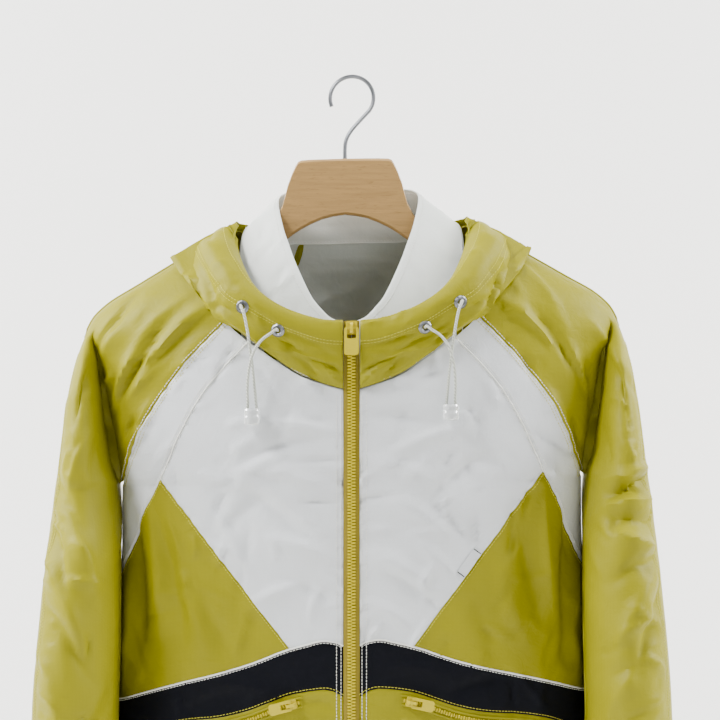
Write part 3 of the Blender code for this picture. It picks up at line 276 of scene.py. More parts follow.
def marks(length, step=CLOTH_STEP):
    """Places from 0 to 1 along a length in mm: close together at both ends, where an edge rolls in."""
    near = [d / length for d in (0.0, 0.5, 1.1, ROLL) if d < length / 4]
    count = max(int(round((length - 2 * ROLL) / step)), 2)
    middle = list(np.linspace(near[-1], 1 - near[-1], count + 1))[1:-1]
    return np.array(near + middle + [1 - v for v in near[::-1]])


def along(line, places):
    """Points of a line at places from 0 to 1 of its length."""
    line = np.asarray(line, float)
    run = np.concatenate(([0], np.cumsum(np.linalg.norm(np.diff(line, axis=0), axis=1))))
    return np.column_stack([np.interp(np.asarray(places) * run[-1], run, line[:, k])
                            for k in range(line.shape[1])])


def seam_line(table, key="x"):
    """A seam's fine line of (x, z) points."""
    other = "z" if key == "x" else "x"
    t = np.linspace(table[key][0], table[key][-1], 160)
    v = smooth(table, key, other)(t)
    return np.column_stack([t, v] if key == "x" else [v, t])


EDGE, OUTER = smooth(BODY, "z", "edge"), smooth(BODY, "z", "outer")
DEPTH = {"front": smooth(BODY, "z", "front"), "back": smooth(BODY, "z", "back")}
SLV = {name: smooth(SLEEVE, "z", name) for name in ("inner", "outer", "fore", "aft", "mid")}
ZIP_Y = smooth(ZIP_LINE, "z", "y")


# ---------------------------------------------------------------- the garment's surfaces
def joined(z):
    """0 where the shoulder is one smooth curve, 1 where body and sleeve are parted by the fold."""
    return ease((SHOULDER_Z - z) / 35.0)


def valley(z):
    """Half thickness of the cloth between body and sleeve; it closes at the armpit."""
    t = np.clip((z - ARMPIT_Z - 2) / 34.0, 0.0, 1.0)
    return 0.2 + VALLEY * np.sqrt(1 - (1 - t) ** 2)


def side_y(z):
    return SIDE_BACK * ease((ARMPIT_Z - z) / 70.0)


def reach(z):
    return OUTER(z) + (EDGE(z) - OUTER(z)) * joined(z)


def to_angle(x, z):
    return np.arcsin(np.clip(x / reach(z), 0.0, 1.0) ** (ROUND / 2))


def body(side, angle, z):
    """Points of the body's front or back; angle runs from the centre (0) to the side (pi/2)."""
    angle, z = np.broadcast_arrays(np.asarray(angle, float), np.asarray(z, float))
    w, d, v = joined(z), DEPTH[side](z), valley(z)
    s, c = np.sin(angle), np.cos(angle)
    x = reach(z) * s ** (2 / ROUND)
    whole = d * np.sqrt(np.maximum(1 - (x / OUTER(z)) ** ROUND, 0))
    part = v + (d - v) * np.sqrt(np.maximum(1 - np.minimum(x / EDGE(z), 1) ** ROUND, 0))
    y = whole + (part - whole) * w
    seam = side_y(z) * (-1 if side == "front" else 1)
    y = y + seam * (1 - c)
    return np.stack([x, -y if side == "front" else y, z], axis=-1)


def chest(side, s, z, start):
    """Raglan part of a sleeve piece: s from its seam (0) to the fold or the shoulder ridge (1)."""
    w, d, v = joined(z), DEPTH[side](z), valley(z)
    out = []
    for a, low, last in ((OUTER(z), 0.0, 0.70), (EDGE(z), v, 1.0)):
        first = np.arcsin(np.minimum(start / a, 1.0) ** (ROUND / 2))
        angle = first + (math.pi / 2 - first) * s * last
        out.append((a * np.sin(angle) ** (2 / ROUND), low + (d - low) * np.cos(angle)))
    x, y = (out[0][k] + (out[1][k] - out[0][k]) * w for k in (0, 1))
    return np.stack([x, -y if side == "front" else y, z + 0 * x], axis=-1)


def arm(side, s, z, start):
    """Sleeve part: s from the fold or underarm seam (0) to the overarm seam (1)."""
    w, v, sign = joined(z), valley(z), -1 if side == "front" else 1
    first = np.arcsin(np.minimum(start / OUTER(z), 1.0) ** (ROUND / 2))
    angle = first + (math.pi / 2 - first) * (0.75 + 0.25 * s)
    whole = (OUTER(z) * np.sin(angle) ** (2 / ROUND), sign * DEPTH[side](z) * np.cos(angle))
    inner, outer, mid = SLV["inner"](z), SLV["outer"](z), SLV["mid"](z)
    bulge = np.abs(SLV["fore" if side == "front" else "aft"](z) - mid)
    low = np.where(z > ARMPIT_Z, sign * v, mid * ease((ARMPIT_Z - z) / 60))
    turn = math.pi * s
    part = ((inner + outer) / 2 - (outer - inner) / 2 * np.cos(turn),
            low + (mid - low) * s + sign * bulge * np.sin(turn))
    x, y = (whole[k] + (part[k] - whole[k]) * w for k in (0, 1))
    return np.stack([x, y, z + 0 * x], axis=-1)


def zip_y(x, z):
    """Front face of the zip tape and of the fronts beside it."""
    on_body = body("front", to_angle(x, z), z)[..., 1]
    return np.where(z > ZIP_LINE["z"][-1], ZIP_Y(z), on_body)


def grid_normals(p, outward):
    """Unit normals of a grid of points, turned to the side of the sample direction."""
    n = np.cross(np.gradient(p, axis=1), np.gradient(p, axis=0))
    n = n + unit(outward) * 1e-6 * np.sign(np.sum(n * outward) or 1)
    if np.sum(n * outward) < 0:
        n = -n
    return unit(n)


def fill(top, bottom, inner, outer, step=CLOTH_STEP):
    """Grid of (x, z) points between four seam lines, worked in (angle, z) so that it bunches to the side."""
    def length(line):
        return np.linalg.norm(np.diff(line, axis=0), axis=1).sum()
    u = marks(max(length(top), length(bottom)), step)
    v = marks(max(length(inner), length(outer)), step)
    t, b, i, o = (along(np.column_stack([to_angle(q[:, 0], q[:, 1]) * BUNCH, q[:, 1]]), m)
                  for q, m in ((np.asarray(top), u), (np.asarray(bottom), u),
                               (np.asarray(inner), v), (np.asarray(outer), v)))
    uu, vv = u[None, :, None], v[:, None, None]
    corners = ((1 - uu) * (1 - vv) * t[0] + uu * (1 - vv) * t[-1] + (1 - uu) * vv * b[0] + uu * vv * b[-1])
    grid = (1 - vv) * t[None] + vv * b[None] + (1 - uu) * i[:, None] + uu * o[:, None] - corners
    angle, z = np.clip(grid[..., 0] / BUNCH, 0, math.pi / 2), grid[..., 1]
    return angle, z


# ---------------------------------------------------------------- folds
# A stroke is one crease: side (-1 right, 1 left, 0 both), middle x and z, direction in degrees, half
# length, half width and height in mm. A negative height is a trough. x grows from the centre front.
FRONT_STROKES = [
    # long folds that fan from the neck and shoulder to the armpit, on the wearer's right sleeve
    (-1, 170, -238, -52, 62, 7, 2.6), (-1, 186, -250, -60, 58, 6, -3.2), (-1, 200, -262, -66, 55, 6, 2.6),
    (-1, 150, -226, -44, 50, 6, -2.2), (-1, 214, -300, -80, 60, 5, -2.6), (-1, 184, -300, -66, 34, 5, 1.8),
    (-1, 132, -205, -36, 40, 6, 1.6), (-1, 214, -232, -58, 32, 6, 1.8), (-1, 228, -262, -72, 46, 6, -2.4),
    # the same on the wearer's left
    (1, 168, -232, -50, 60, 7, 2.4), (1, 184, -246, -58, 60, 6, -3.0), (1, 198, -262, -64, 52, 6, 2.6),
    (1, 150, -220, -42, 46, 6, -2.0), (1, 212, -296, -78, 58, 5, -2.8), (1, 180, -296, -62, 36, 5, 2.0),
    (1, 128, -200, -34, 40, 6, 1.8), (1, 222, -240, -62, 36, 6, 2.0), (1, 230, -272, -76, 42, 6, -2.2),
    # folds that lie across the sleeves below the armpit
    (1, 236, -346, 14, 30, 5, 2.6), (1, 238, -358, 20, 32, 5, -3.4), (1, 236, -371, 8, 30, 6, 2.8),
    (1, 240, -386, -12, 30, 6, -3.0), (1, 238, -402, -20, 32, 6, 2.4), (1, 240, -424, 24, 34, 7, -2.4),
    (-1, 238, -366, 62, 46, 6, -2.6), (-1, 228, -392, 70, 60, 7, 2.8), (-1, 248, -400, 74, 60, 6, -2.4),
    (-1, 240, -440, 66, 60, 8, 2.4), (-1, 236, -478, 58, 46, 7, -2.6), (1, 236, -462, 64, 50, 8, 2.4),
    (1, 250, -478, 70, 54, 7, -2.4), (1, 232, -520, 56, 50, 8, 2.0), (-1, 248, -530, 74, 60, 8, 2.0),
    # white chest: soft folds across and down from the neck
    (-1, 44, -300, 10, 38, 6, 1.5), (-1, 60, -318, -14, 44, 6, -1.5), (-1, 40, -346, 22, 34, 7, 1.3),
    (-1, 84, -336, -32, 44, 7, 1.4), (-1, 66, -372, 36, 46, 7, -1.5), (-1, 44, -402, 18, 40, 8, 1.3),
    (-1, 96, -376, -44, 36, 7, -1.3), (-1, 34, -440, 30, 34, 7, -1.3), (-1, 66, -442, -24, 36, 7, 1.3),
    (1, 46, -296, -8, 40, 6, -1.4), (1, 66, -312, 18, 42, 6, 1.5), (1, 44, -338, -20, 38, 7, 1.4),
    (1, 88, -346, 38, 42, 7, -1.5), (1, 60, -378, -38, 44, 7, 1.5), (1, 88, -388, -50, 40, 7, -1.5),
    (1, 40, -420, -28, 40, 8, 1.4), (1, 58, -446, -40, 44, 7, -1.6), (1, 36, -462, -34, 32, 6, 1.4),
    (1, 74, -418, -46, 40, 6, 1.5),
    # yellow side triangle: folds that hang down from the armpit
    (-1, 166, -420, 84, 70, 9, 2.2), (-1, 150, -440, 78, 64, 8, -2.2), (-1, 132, -460, 72, 54, 8, 1.7),
    (-1, 182, -440, 88, 80, 8, -2.4), (-1, 112, -476, 66, 36, 7, -1.4), (-1, 194, -470, 92, 70, 7, 1.8),
    (1, 168, -424, 96, 72, 9, 2.2), (1, 152, -436, 104, 60, 8, -2.0), (1, 134, -458, 110, 50, 8, 1.7),
    (1, 184, -446, 90, 80, 8, -2.4), (1, 112, -478, 116, 34, 7, -1.4), (1, 195, -476, 88, 70, 7, 1.6),
    # navy band
    (-1, 150, -536, 80, 30, 8, 1.2), (-1, 90, -520, 12, 34, 6, 1.0), (-1, 120, -534, -20, 30, 6, -1.1),
    (1, 60, -508, -10, 34, 6, 1.1), (1, 106, -524, 16, 34, 6, -1.1), (1, 160, -544, 84, 30, 8, 1.2),
    # lower fronts
    (-1, 60, -620, 80, 90, 12, 2.2), (-1, 110, -660, 86, 110, 12, -2.4), (-1, 160, -640, 92, 110, 12, 2.4),
    (-1, 36, -700, 76, 80, 10, -1.8), (-1, 90, -750, 70, 60, 10, 1.8), (-1, 190, -700, 88, 90, 10, -2.2),
    (1, 56, -630, 100, 90, 12, 2.2), (1, 106, -650, 92, 110, 12, -2.4), (1, 156, -650, 86, 110, 12, 2.4),
    (1, 40, -710, 104, 80, 10, -1.8), (1, 94, -744, 108, 60, 10, 1.8), (1, 188, -690, 92, 90, 10, -2.2),
]
BACK_STROKES = [
    (0, 60, -330, 84, 90, 14, 2.2), (0, 110, -360, 78, 100, 14, -2.4), (0, 156, -380, 70, 90, 12, 2.2),
    (0, 176, -300, 60, 60, 8, -2.4), (0, 196, -268, 64, 50, 7, 2.2), (0, 160, -240, 48, 46, 7, -1.8),
    (0, 24, -420, 88, 110, 14, -1.8), (0, 84, -480, 82, 110, 14, 2.2), (0, 140, -500, 86, 120, 13, -2.4),
    (0, 186, -520, 90, 110, 11, 2.2), (0, 40, -600, 92, 110, 14, 2.0), (0, 100, -640, 94, 110, 13, -2.2),
    (0, 150, -680, 88, 110, 13, 2.2), (0, 60, -740, 84, 60, 12, -1.8), (0, 120, -760, 92, 50, 11, 1.8),
    (0, 236, -380, 20, 32, 7, -2.6), (0, 238, -410, -14, 32, 7, 2.4), (0, 240, -470, 66, 50, 8, -2.4),
    (0, 236, -540, 72, 60, 8, 2.2), (0, 244, -620, 80, 60, 8, -2.2), (0, 240, -700, 76, 50, 8, 2.0),
]
# How small crumples are scattered over a region: corners, direction and its spread in degrees, half
# length, half width and height in mm, how many for a square decimetre, and the seed
CRUMPLES = {
    "front": [
        {"box": (0, -500, 165, -225), "turn": 10, "spread": 50, "long": 17, "wide": 2.6, "high": 0.62,
         "dense": 9, "seed": 3},
        {"box": (100, -360, 265, -140), "turn": -54, "spread": 16, "long": 24, "wide": 2.8, "high": 0.75,
         "dense": 9, "seed": 5},
        {"box": (205, -830, 280, -330), "turn": 30, "spread": 60, "long": 17, "wide": 3.0, "high": 0.8,
         "dense": 11, "seed": 7},
        {"box": (60, -560, 210, -350), "turn": 88, "spread": 18, "long": 24, "wide": 3.0, "high": 0.62,
         "dense": 8, "seed": 9},
        {"box": (0, -832, 210, -520), "turn": 86, "spread": 40, "long": 24, "wide": 3.4, "high": 0.7,
         "dense": 6, "seed": 11},
    ],
    "back": [
        {"box": (-210, -832, 210, -140), "turn": 84, "spread": 50, "long": 24, "wide": 3.6, "high": 0.75,
         "dense": 5, "seed": 13},
        {"box": (205, -830, 280, -230), "turn": 40, "spread": 60, "long": 18, "wide": 3.0, "high": 0.8,
         "dense": 9, "seed": 15},
        {"box": (-280, -830, -205, -230), "turn": 40, "spread": 60, "long": 18, "wide": 3.0, "high": 0.8,
         "dense": 9, "seed": 16},
    ],
}
# Puckers that stitching draws into the cloth beside a seam: which seam, how far apart they are,
# half length across the seam and height
PUCKERS = [
    {"seam": "inner", "every": 6.5, "reach": 6.5, "high": 0.42, "seed": 21},
    {"seam": "diagonal", "every": 7.0, "reach": 7.0, "high": 0.45, "seed": 22},
    {"seam": "band_top", "every": 8.0, "reach": 6.0, "high": 0.36, "seed": 23},
    {"seam": "band_end", "every": 8.0, "reach": 6.0, "high": 0.36, "seed": 24},
    {"seam": "raglan", "every": 7.0, "reach": 8.0, "high": 0.5, "seed": 25},
    {"seam": "strip_end", "every": 7.0, "reach": 6.5, "high": 0.42, "seed": 26},
    {"seam": "zip", "every": 6.0, "reach": 8.0, "high": 0.5, "seed": 27},
    {"seam": "neck", "every": 6.0, "reach": 6.0, "high": 0.45, "seed": 28},
    {"seam": "overarm", "every": 5.0, "reach": 7.0, "high": 0.6, "seed": 29},
]
SEAM_LINES = {
    "inner": seam_line(INNER_SEAM), "diagonal": seam_line(DIAGONAL), "band_top": seam_line(BAND_TOP),
    "band_end": seam_line(BAND_END), "raglan": seam_line(RAGLAN, "z"), "strip_end": seam_line(STRIP_END),
    "zip": np.array([(PANEL_X, -272.0), (PANEL_X, HEM_END_Z)]), "neck": seam_line(NECK_LINE),
    "overarm": np.array([(OUTER(h) - OVERARM_INSET, h) for h in np.linspace(OVERARM_TOP_Z, CUFF_Z, 60)]),
}


def scattered(spec):
    """Strokes of one region of small crumples, the same ones each time."""
    rng = np.random.default_rng(spec["seed"])
    x0, z0, x1, z1 = spec["box"]
    count = int(spec["dense"] * (x1 - x0) * (z1 - z0) / 1e4)
    out = []
    for side in (-1, 1):
        for _ in range(count):
            out.append((side, rng.uniform(x0, x1), rng.uniform(z0, z1),
                        rng.normal(spec["turn"], spec["spread"]), spec["long"] * rng.uniform(0.5, 1.5),
                        spec["wide"] * rng.uniform(0.7, 1.5),
                        spec["high"] * rng.uniform(0.6, 2.2) * GAIN["crumple"] * rng.choice((-1, 1))))
    return out


def puckers(spec):
    """Short strokes across a seam, unevenly spaced."""
    rng = np.random.default_rng(spec["seed"])
    line = SEAM_LINES[spec["seam"]]
    length = np.linalg.norm(np.diff(line, axis=0), axis=1).sum()
    count = int(length / spec["every"])
    out = []
    for side in (-1, 1):
        places = np.clip((np.arange(count) + rng.uniform(0.1, 0.9, count)) / count, 0, 1)
        p, q = along(line, places), along(line, np.clip(places + 0.01, 0, 1))
        turn = np.degrees(np.arctan2(*(q - p).T[::-1])) + 90
        for (x, z), a in zip(p, turn):
            out.append((side, x, z, a + rng.normal(0, 16), spec["reach"] * rng.uniform(0.6, 1.4),
                        rng.uniform(1.2, 1.9), spec["high"] * rng.uniform(0.8, 2.2) * rng.choice((-1, 1))))
    return out


def taller(strokes, by):
    return [(*s[:-1], s[-1] * by) for s in strokes]


STROKES = {
    "front": taller(FRONT_STROKES, GAIN["front"]) + [s for spec in CRUMPLES["front"] for s in scattered(spec)]
    + [s for spec in PUCKERS for s in puckers(spec)],
    "back": taller(BACK_STROKES, GAIN["back"]) + [s for spec in CRUMPLES["back"] for s in scattered(spec)],
}


def relief(strokes, side, x, z):
    """Height of the folds at places (x, z) of one side: the sum of all the strokes there."""
    out = np.zeros(np.shape(x))
    scale = FOLD_SCALE * bpy.context.scene.jacket_sizes.fold_height
    x, z = np.asarray(x, float), np.asarray(z, float)
    for which, cx, cz, turn, half, wide, high in strokes:
        if which not in (0, side):
            continue
        near = (np.abs(x - cx) < half + 3 * wide) & (np.abs(z - cz) < half + 3 * wide)
        if not near.any():
            continue
        c, s = math.cos(math.radians(turn)), math.sin(math.radians(turn))
        dx, dz = x[near] - cx, z[near] - cz
        a, b = (dx * c + dz * s) / half, (-dx * s + dz * c) / wide
        b = b + 0.8 * a * a
        crest = np.exp(-np.abs(b) ** 1.5 * np.where(b > 0, 2.0, 0.75))
        out[near] += scale * high * crest * np.clip(1 - a * a, 0, 1) ** 1.5
    return out


# ---------------------------------------------------------------- meshes
def place(points, side):
    """World points, in metres, of half-garment points in mm."""
    p = np.array(points, float) * (side, 1, 1)
    p[..., 2] += TILT * p[..., 0]
    return p * MM


def on_side(points, faces, side):
    """World points, and faces that still look outwards, of half-garment points on one side."""
    return place(points, side), faces if side > 0 else [f[::-1] for f in faces]


def facing_out(layer):
    return np.array([0, -1.0 if layer == "front" else 1.0, 0])


def frontal(n):
    """1 where the cloth faces front or back, falling to 0 where it turns edge on at the sides."""
    return ease(np.abs(n[..., 1]) / EDGE_ON)


def make(name, points, faces, mat, nodes=(), slot=None, smooth_angle=50.0):
    """Make a piece that rides on the jacket and stands for its model nodes."""
    mesh = bpy.data.meshes.new(name)
    mesh.from_pydata(np.asarray(points).tolist(), [], faces)
    mesh.materials.append(mat)
    mesh.shade_smooth()
    mesh.set_sharp_from_angle(angle=math.radians(smooth_angle))
    ob = bpy.data.objects.new(name, mesh)
    bpy.context.scene.collection.objects.link(ob)
    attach(ob, BODY_NAME)
    if nodes:
        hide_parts(*nodes)
    return ob


def grid_quads(rows, cols, closed=False):
    i, j = np.meshgrid(np.arange(rows - 1), np.arange(cols if closed else cols - 1), indexing="ij")
    a, b = i * cols + j, i * cols + (j + 1) % cols
    return np.stack([a, b, b + cols, a + cols], -1).reshape(-1, 4).tolist()


def edge_fall(p, edges):
    """How far each grid point rolls in, from its distance to each stitched edge that is named."""
    du = np.linalg.norm(np.diff(p, axis=1), axis=-1)
    dv = np.linalg.norm(np.diff(p, axis=0), axis=-1)
    left = np.concatenate([np.zeros((p.shape[0], 1)), np.cumsum(du, axis=1)], 1)
    top = np.concatenate([np.zeros((1, p.shape[1])), np.cumsum(dv, axis=0)], 0)
    ways = {"left": left, "right": left[:, -1:] - left, "top": top, "bottom": top[-1:] - top}
    fall = np.zeros(p.shape[:2])
    for edge in edges:
        t = np.clip(1 - ways[edge] / ROLL, 0, 1)
        fall = np.maximum(fall, t ** 2)
    return fall * ROLL_DEPTH


def sheet_mesh(p, n, thick=WALL):
    """Closed wall of quads from a grid of outer points and normals."""
    rows, cols = p.shape[:2]
    outer, inner = p.reshape(-1, 3), (p - n * thick).reshape(-1, 3)
    count = len(outer)
    quads = grid_quads(rows, cols)
    faces = quads + [[i + count for i in f][::-1] for f in quads]
    ring = ([k for k in range(cols)] + [r * cols + cols - 1 for r in range(1, rows)]
            + [(rows - 1) * cols + k for k in range(cols - 2, -1, -1)]
            + [r * cols for r in range(rows - 2, 0, -1)])
    for a, b in zip(ring, ring[1:] + ring[:1]):
        faces.append([b, a, a + count, b + count])
    points = np.vstack([outer, inner])
    f = np.array(faces[:len(quads)])
    facing = np.sum(n.reshape(-1, 3)[f[:, 0]]
                    * np.cross(points[f[:, 1]] - points[f[:, 0]], points[f[:, 3]] - points[f[:, 0]]))
    if facing < 0:
        faces = [face[::-1] for face in faces]
    return points, faces


def cloth(name, p, side, mat, nodes, layer="front", edges=("left", "right", "top", "bottom"),
          slot="shell_nylon", outward=None, height=None, thick=WALL):
    """One cut piece: the grid is raised by its folds, its edges roll in to the seams, and it gets a back."""
    if outward is None:
        outward = facing_out(layer)
    n = grid_normals(p, np.broadcast_to(outward, p.shape))
    if height is None:
        height = relief(STROKES[layer], side, p[..., 0], p[..., 2]) * frontal(n)
    p = p + n * (height - edge_fall(p, edges))[..., None]
    n = grid_normals(p, n)
    points, faces = sheet_mesh(p, n, thick)
    ob = make(name, *on_side(points, faces, side), mat, nodes, slot)
    return ob, p, n


def swept(line, radius, sides=8, flat=1.0, normals=None, caps=True):
    """Points and faces of a round or flat strand along a line of points in mm."""
    line = np.asarray(line, float)
    t = unit(np.gradient(line, axis=0))
    up = np.asarray(normals, float) if normals is not None else np.tile((0.0, -1.0, 0.0), (len(line), 1))
    up = unit(up - t * np.sum(up * t, axis=1, keepdims=True))
    across = np.cross(t, up)
    turn = np.linspace(0, 2 * math.pi, sides, endpoint=False)
    r = np.broadcast_to(radius, (len(line),))[:, None, None]
    points = (line[:, None] + across[:, None] * np.cos(turn)[None, :, None] * r
              + up[:, None] * np.sin(turn)[None, :, None] * r * flat).reshape(-1, 3)
    faces = grid_quads(len(line), sides, closed=True)
    if caps:
        faces += [list(range(sides))[::-1], [(len(line) - 1) * sides + k for k in range(sides)]]
    return points, faces


def gather(parts):
    """Join (points, faces) lists into one."""
    points, faces, base = [], [], 0
    for p, f in parts:
        points.append(p)
        faces += [[i + base for i in face] for face in f]
        base += len(p)
    return np.vstack(points), faces


def stitches(line, normals, pitch=3.0, long=2.3, thick=0.36, rise=0.15):
    """Thread stitches along a line of surface points: short rounded strands, sunk at both ends."""
    run = np.linalg.norm(np.diff(line, axis=0), axis=1).sum()
    count = max(int(run / pitch), 1)
    parts = []
    for k in range(count):
        at = (np.array([-0.5, -0.32, 0.0, 0.32, 0.5]) * long / run) + (k + 0.5) / count
        at = np.clip(at, 0, 1)
        q, n = along(line, at), unit(along(np.hstack([line, normals]), at)[:, 3:])
        q = q + n * (np.array([-0.3, 0.1, 0.25, 0.1, -0.3]) * thick + rise)[:, None]
        parts.append(swept(q, np.array([0.4, 0.9, 1, 0.9, 0.4]) * thick, 5, 0.8, n, caps=False))
    return gather(parts)


def on_front(line, lift=0.0, side=1, layer="front"):
    """Surface points and normals under a line of (x, z) points, folds and all."""
    x, z = np.asarray(line, float).T
    def at(dx, dz):
        xx, zz = np.maximum(x + dx, 0.0), z + dz
        return body(layer, to_angle(xx, zz), zz)
    p = at(0, 0)
    n = unit(np.cross(at(0.5, 0) - at(-0.5, 0), at(0, 0.5) - at(0, -0.5)))
    n = n * np.where((n[:, 1:2] < 0) == (layer == "front"), 1, -1)
    h = relief(STROKES[layer], side, x, z) * frontal(n)
    return p + n * (h + lift)[:, None], n


# ---------------------------------------------------------------- materials
def linear(code):
    """Linear colour of an sRGB hex value."""
    parts = [int(code[i:i + 2], 16) / 255 for i in (1, 3, 5)]
    return tuple(c / 12.92 if c <= 0.04045 else ((c + 0.055) / 1.055) ** 2.4 for c in parts)


def node(tree, kind, links=(), **settings):
    """Add a node with its settings and its links, each (from node, output, own input)."""
    made = tree.nodes.new(kind)
    for key, value in settings.items():
        if hasattr(made, key):
            setattr(made, key, value)
        else:
            made.inputs[key.replace("_", " ")].default_value = value
    for source, output, own in links:
        tree.links.new(source.outputs[output], made.inputs[own])
    return made


def blank(name):
    mat = bpy.data.materials.new(name)
    mat.use_nodes = True
    mat.node_tree.nodes.clear()
    return mat, mat.node_tree


def surface(tree, shader):
    out = tree.nodes.new("ShaderNodeOutputMaterial")
    tree.links.new(shader.outputs[0], out.inputs["Surface"])


def bumped(tree, colour, bump, rough):
    """A shader with its colour and its bump linked and one roughness."""
    links = [(colour, "Color", "Base Color"), (bump, "Normal", "Normal")]
    return node(tree, "ShaderNodeBsdfPrincipled", links, Roughness=rough)


def woven_nylon(name, colour, rough=0.5, sheen=0.25, weave_mm=1.1, crush=0.35, deep=0.82, gloss=0.5):
    """Plain woven nylon, dyed and calendered: a tight weave with a soft satin light on every fold."""
    mat, tree = blank(name)
    place_at = node(tree, "ShaderNodeTexCoord")
    # the real threads are 0.12 mm apart; they are drawn coarser here so that the weave shows at all
    weft = node(tree, "ShaderNodeTexWave", [(place_at, "Object", "Vector")], wave_type="BANDS",
                bands_direction="Z", Scale=2 * math.pi / (weave_mm * MM) / 20, Distortion=0.4, Detail=1.0)
    warp = node(tree, "ShaderNodeTexWave", [(place_at, "Object", "Vector")], wave_type="BANDS",
                bands_direction="X", Scale=2 * math.pi / (weave_mm * MM) / 20, Distortion=0.4, Detail=1.0)
    weave = node(tree, "ShaderNodeMath", [(weft, "Fac", 0), (warp, "Fac", 1)], operation="MULTIPLY")
    # faint crush marks a few millimetres across, left by folding and wear
    crumple = node(tree, "ShaderNodeTexNoise", [(place_at, "Object", "Vector")], Scale=90.0, Detail=5.0,
                   Roughness=0.6, Distortion=0.8)
    broad = node(tree, "ShaderNodeTexNoise", [(place_at, "Object", "Vector")], Scale=14.0, Detail=3.0)
    shade = node(tree, "ShaderNodeMixRGB", [(broad, "Fac", "Fac")], blend_type="MIX",
                 Color1=(*[c * deep for c in colour], 1), Color2=(*[min(c * 1.1, 1) for c in colour], 1))
    threads = node(tree, "ShaderNodeMixRGB", [(weave, "Value", "Color2"), (shade, "Color", "Color1")],
                   blend_type="OVERLAY", Fac=0.10)
    bump_a = node(tree, "ShaderNodeBump", [(crumple, "Fac", "Height")], Strength=crush, Distance=0.0012)
    bump_b = node(tree, "ShaderNodeBump", [(weave, "Value", "Height"), (bump_a, "Normal", "Normal")],
                  Strength=0.12, Distance=0.0003)
    ramp = node(tree, "ShaderNodeMapRange", [(crumple, "Fac", "Value")], **{"To Min": rough - 0.06,
                                                                           "To Max": rough + 0.10})
    shader = node(tree, "ShaderNodeBsdfPrincipled",
                  [(threads, "Color", "Base Color"), (ramp, "Result", "Roughness"),
                   (bump_b, "Normal", "Normal")])
    shader.inputs["Sheen Weight"].default_value = sheen
    shader.inputs["Sheen Roughness"].default_value = 0.4
    shader.inputs["Specular IOR Level"].default_value = gloss
    surface(tree, shader)
    return mat


def moulded_resin(name, colour, rough=0.38):
    """Acetal resin, injection moulded and dyed through: satin, with a faint flow texture."""
    mat, tree = blank(name)
    place_at = node(tree, "ShaderNodeTexCoord")
    flow = node(tree, "ShaderNodeTexNoise", [(place_at, "Object", "Vector")], Scale=420.0, Detail=3.0)
    shade = node(tree, "ShaderNodeMixRGB", [(flow, "Fac", "Fac")], Color1=(*[c * 0.86 for c in colour], 1),
                 Color2=(*[min(c * 1.08, 1) for c in colour], 1))
    bump = node(tree, "ShaderNodeBump", [(flow, "Fac", "Height")], Strength=0.2, Distance=0.0002)
    shader = bumped(tree, shade, bump, rough)
    shader.inputs["Specular IOR Level"].default_value = 0.5
    surface(tree, shader)
    return mat


def woven_tape(name, colour, rib_mm=0.9):
    """Woven polyester tape: fine ribs across it, dull, with painted shade darkening the grooves between them.
    """
    mat, tree = blank(name)
    place_at = node(tree, "ShaderNodeTexCoord")
    ribs = node(tree, "ShaderNodeTexWave", [(place_at, "Object", "Vector")], wave_type="BANDS",
                bands_direction="Z", Scale=2 * math.pi / (rib_mm * MM) / 20, Distortion=0.6, Detail=1.0)
    # painted shade: the grooves between the ribs get the darker colour
    shade = node(tree, "ShaderNodeMixRGB", [(ribs, "Fac", "Fac")], Color1=(*[c * 0.68 for c in colour], 1),
                 Color2=(*[min(c * 1.12, 1) for c in colour], 1))
    bump = node(tree, "ShaderNodeBump", [(ribs, "Fac", "Height")], Strength=0.35, Distance=0.0003)
    shader = bumped(tree, shade, bump, 0.75)
    shader.inputs["Sheen Weight"].default_value = 0.2
    surface(tree, shader)
    return mat


def braided_cord(name, colour):
    """Braided polyester cord: pale, dull, with the braid's slanting strands and painted shade in the gaps
    between them.
    """
    mat, tree = blank(name)
    place_at = node(tree, "ShaderNodeTexCoord")
    # strands are 0.6 mm wide
    braid = node(tree, "ShaderNodeTexWave", [(place_at, "Object", "Vector")], wave_type="BANDS",
                 bands_direction="DIAGONAL", Scale=2 * math.pi / (1.2 * MM) / 20, Distortion=1.0, Detail=1.0)
    # painted shade: the gaps between the strands get the darker colour
    shade = node(tree, "ShaderNodeMixRGB", [(braid, "Fac", "Fac")], Color1=(*[c * 0.62 for c in colour], 1),
                 Color2=(*[min(c * 1.15, 1) for c in colour], 1))
    bump = node(tree, "ShaderNodeBump", [(braid, "Fac", "Height")], Strength=0.5, Distance=0.0004)
    shader = bumped(tree, shade, bump, 0.7)
    surface(tree, shader)
    return mat


def plated_steel(name, colour, rough=0.32):
    """Pressed steel with a dull nickel plate: grey, with soft scratches that break the highlight."""
    mat, tree = blank(name)
    place_at = node(tree, "ShaderNodeTexCoord")
    wear = node(tree, "ShaderNodeTexNoise", [(place_at, "Object", "Vector")], Scale=260.0, Detail=4.0)
    rougher = node(tree, "ShaderNodeMapRange", [(wear, "Fac", "Value")], **{"To Min": rough - 0.08,
                                                                           "To Max": rough + 0.14})
    shade = node(tree, "ShaderNodeMixRGB", [(wear, "Fac", "Fac")], Color1=(*[c * 0.75 for c in colour], 1),
                 Color2=(*colour, 1))
    shader = node(tree, "ShaderNodeBsdfPrincipled", [(shade, "Color", "Base Color"),
                                                     (rougher, "Result", "Roughness")], Metallic=1.0)
    surface(tree, shader)
    return mat


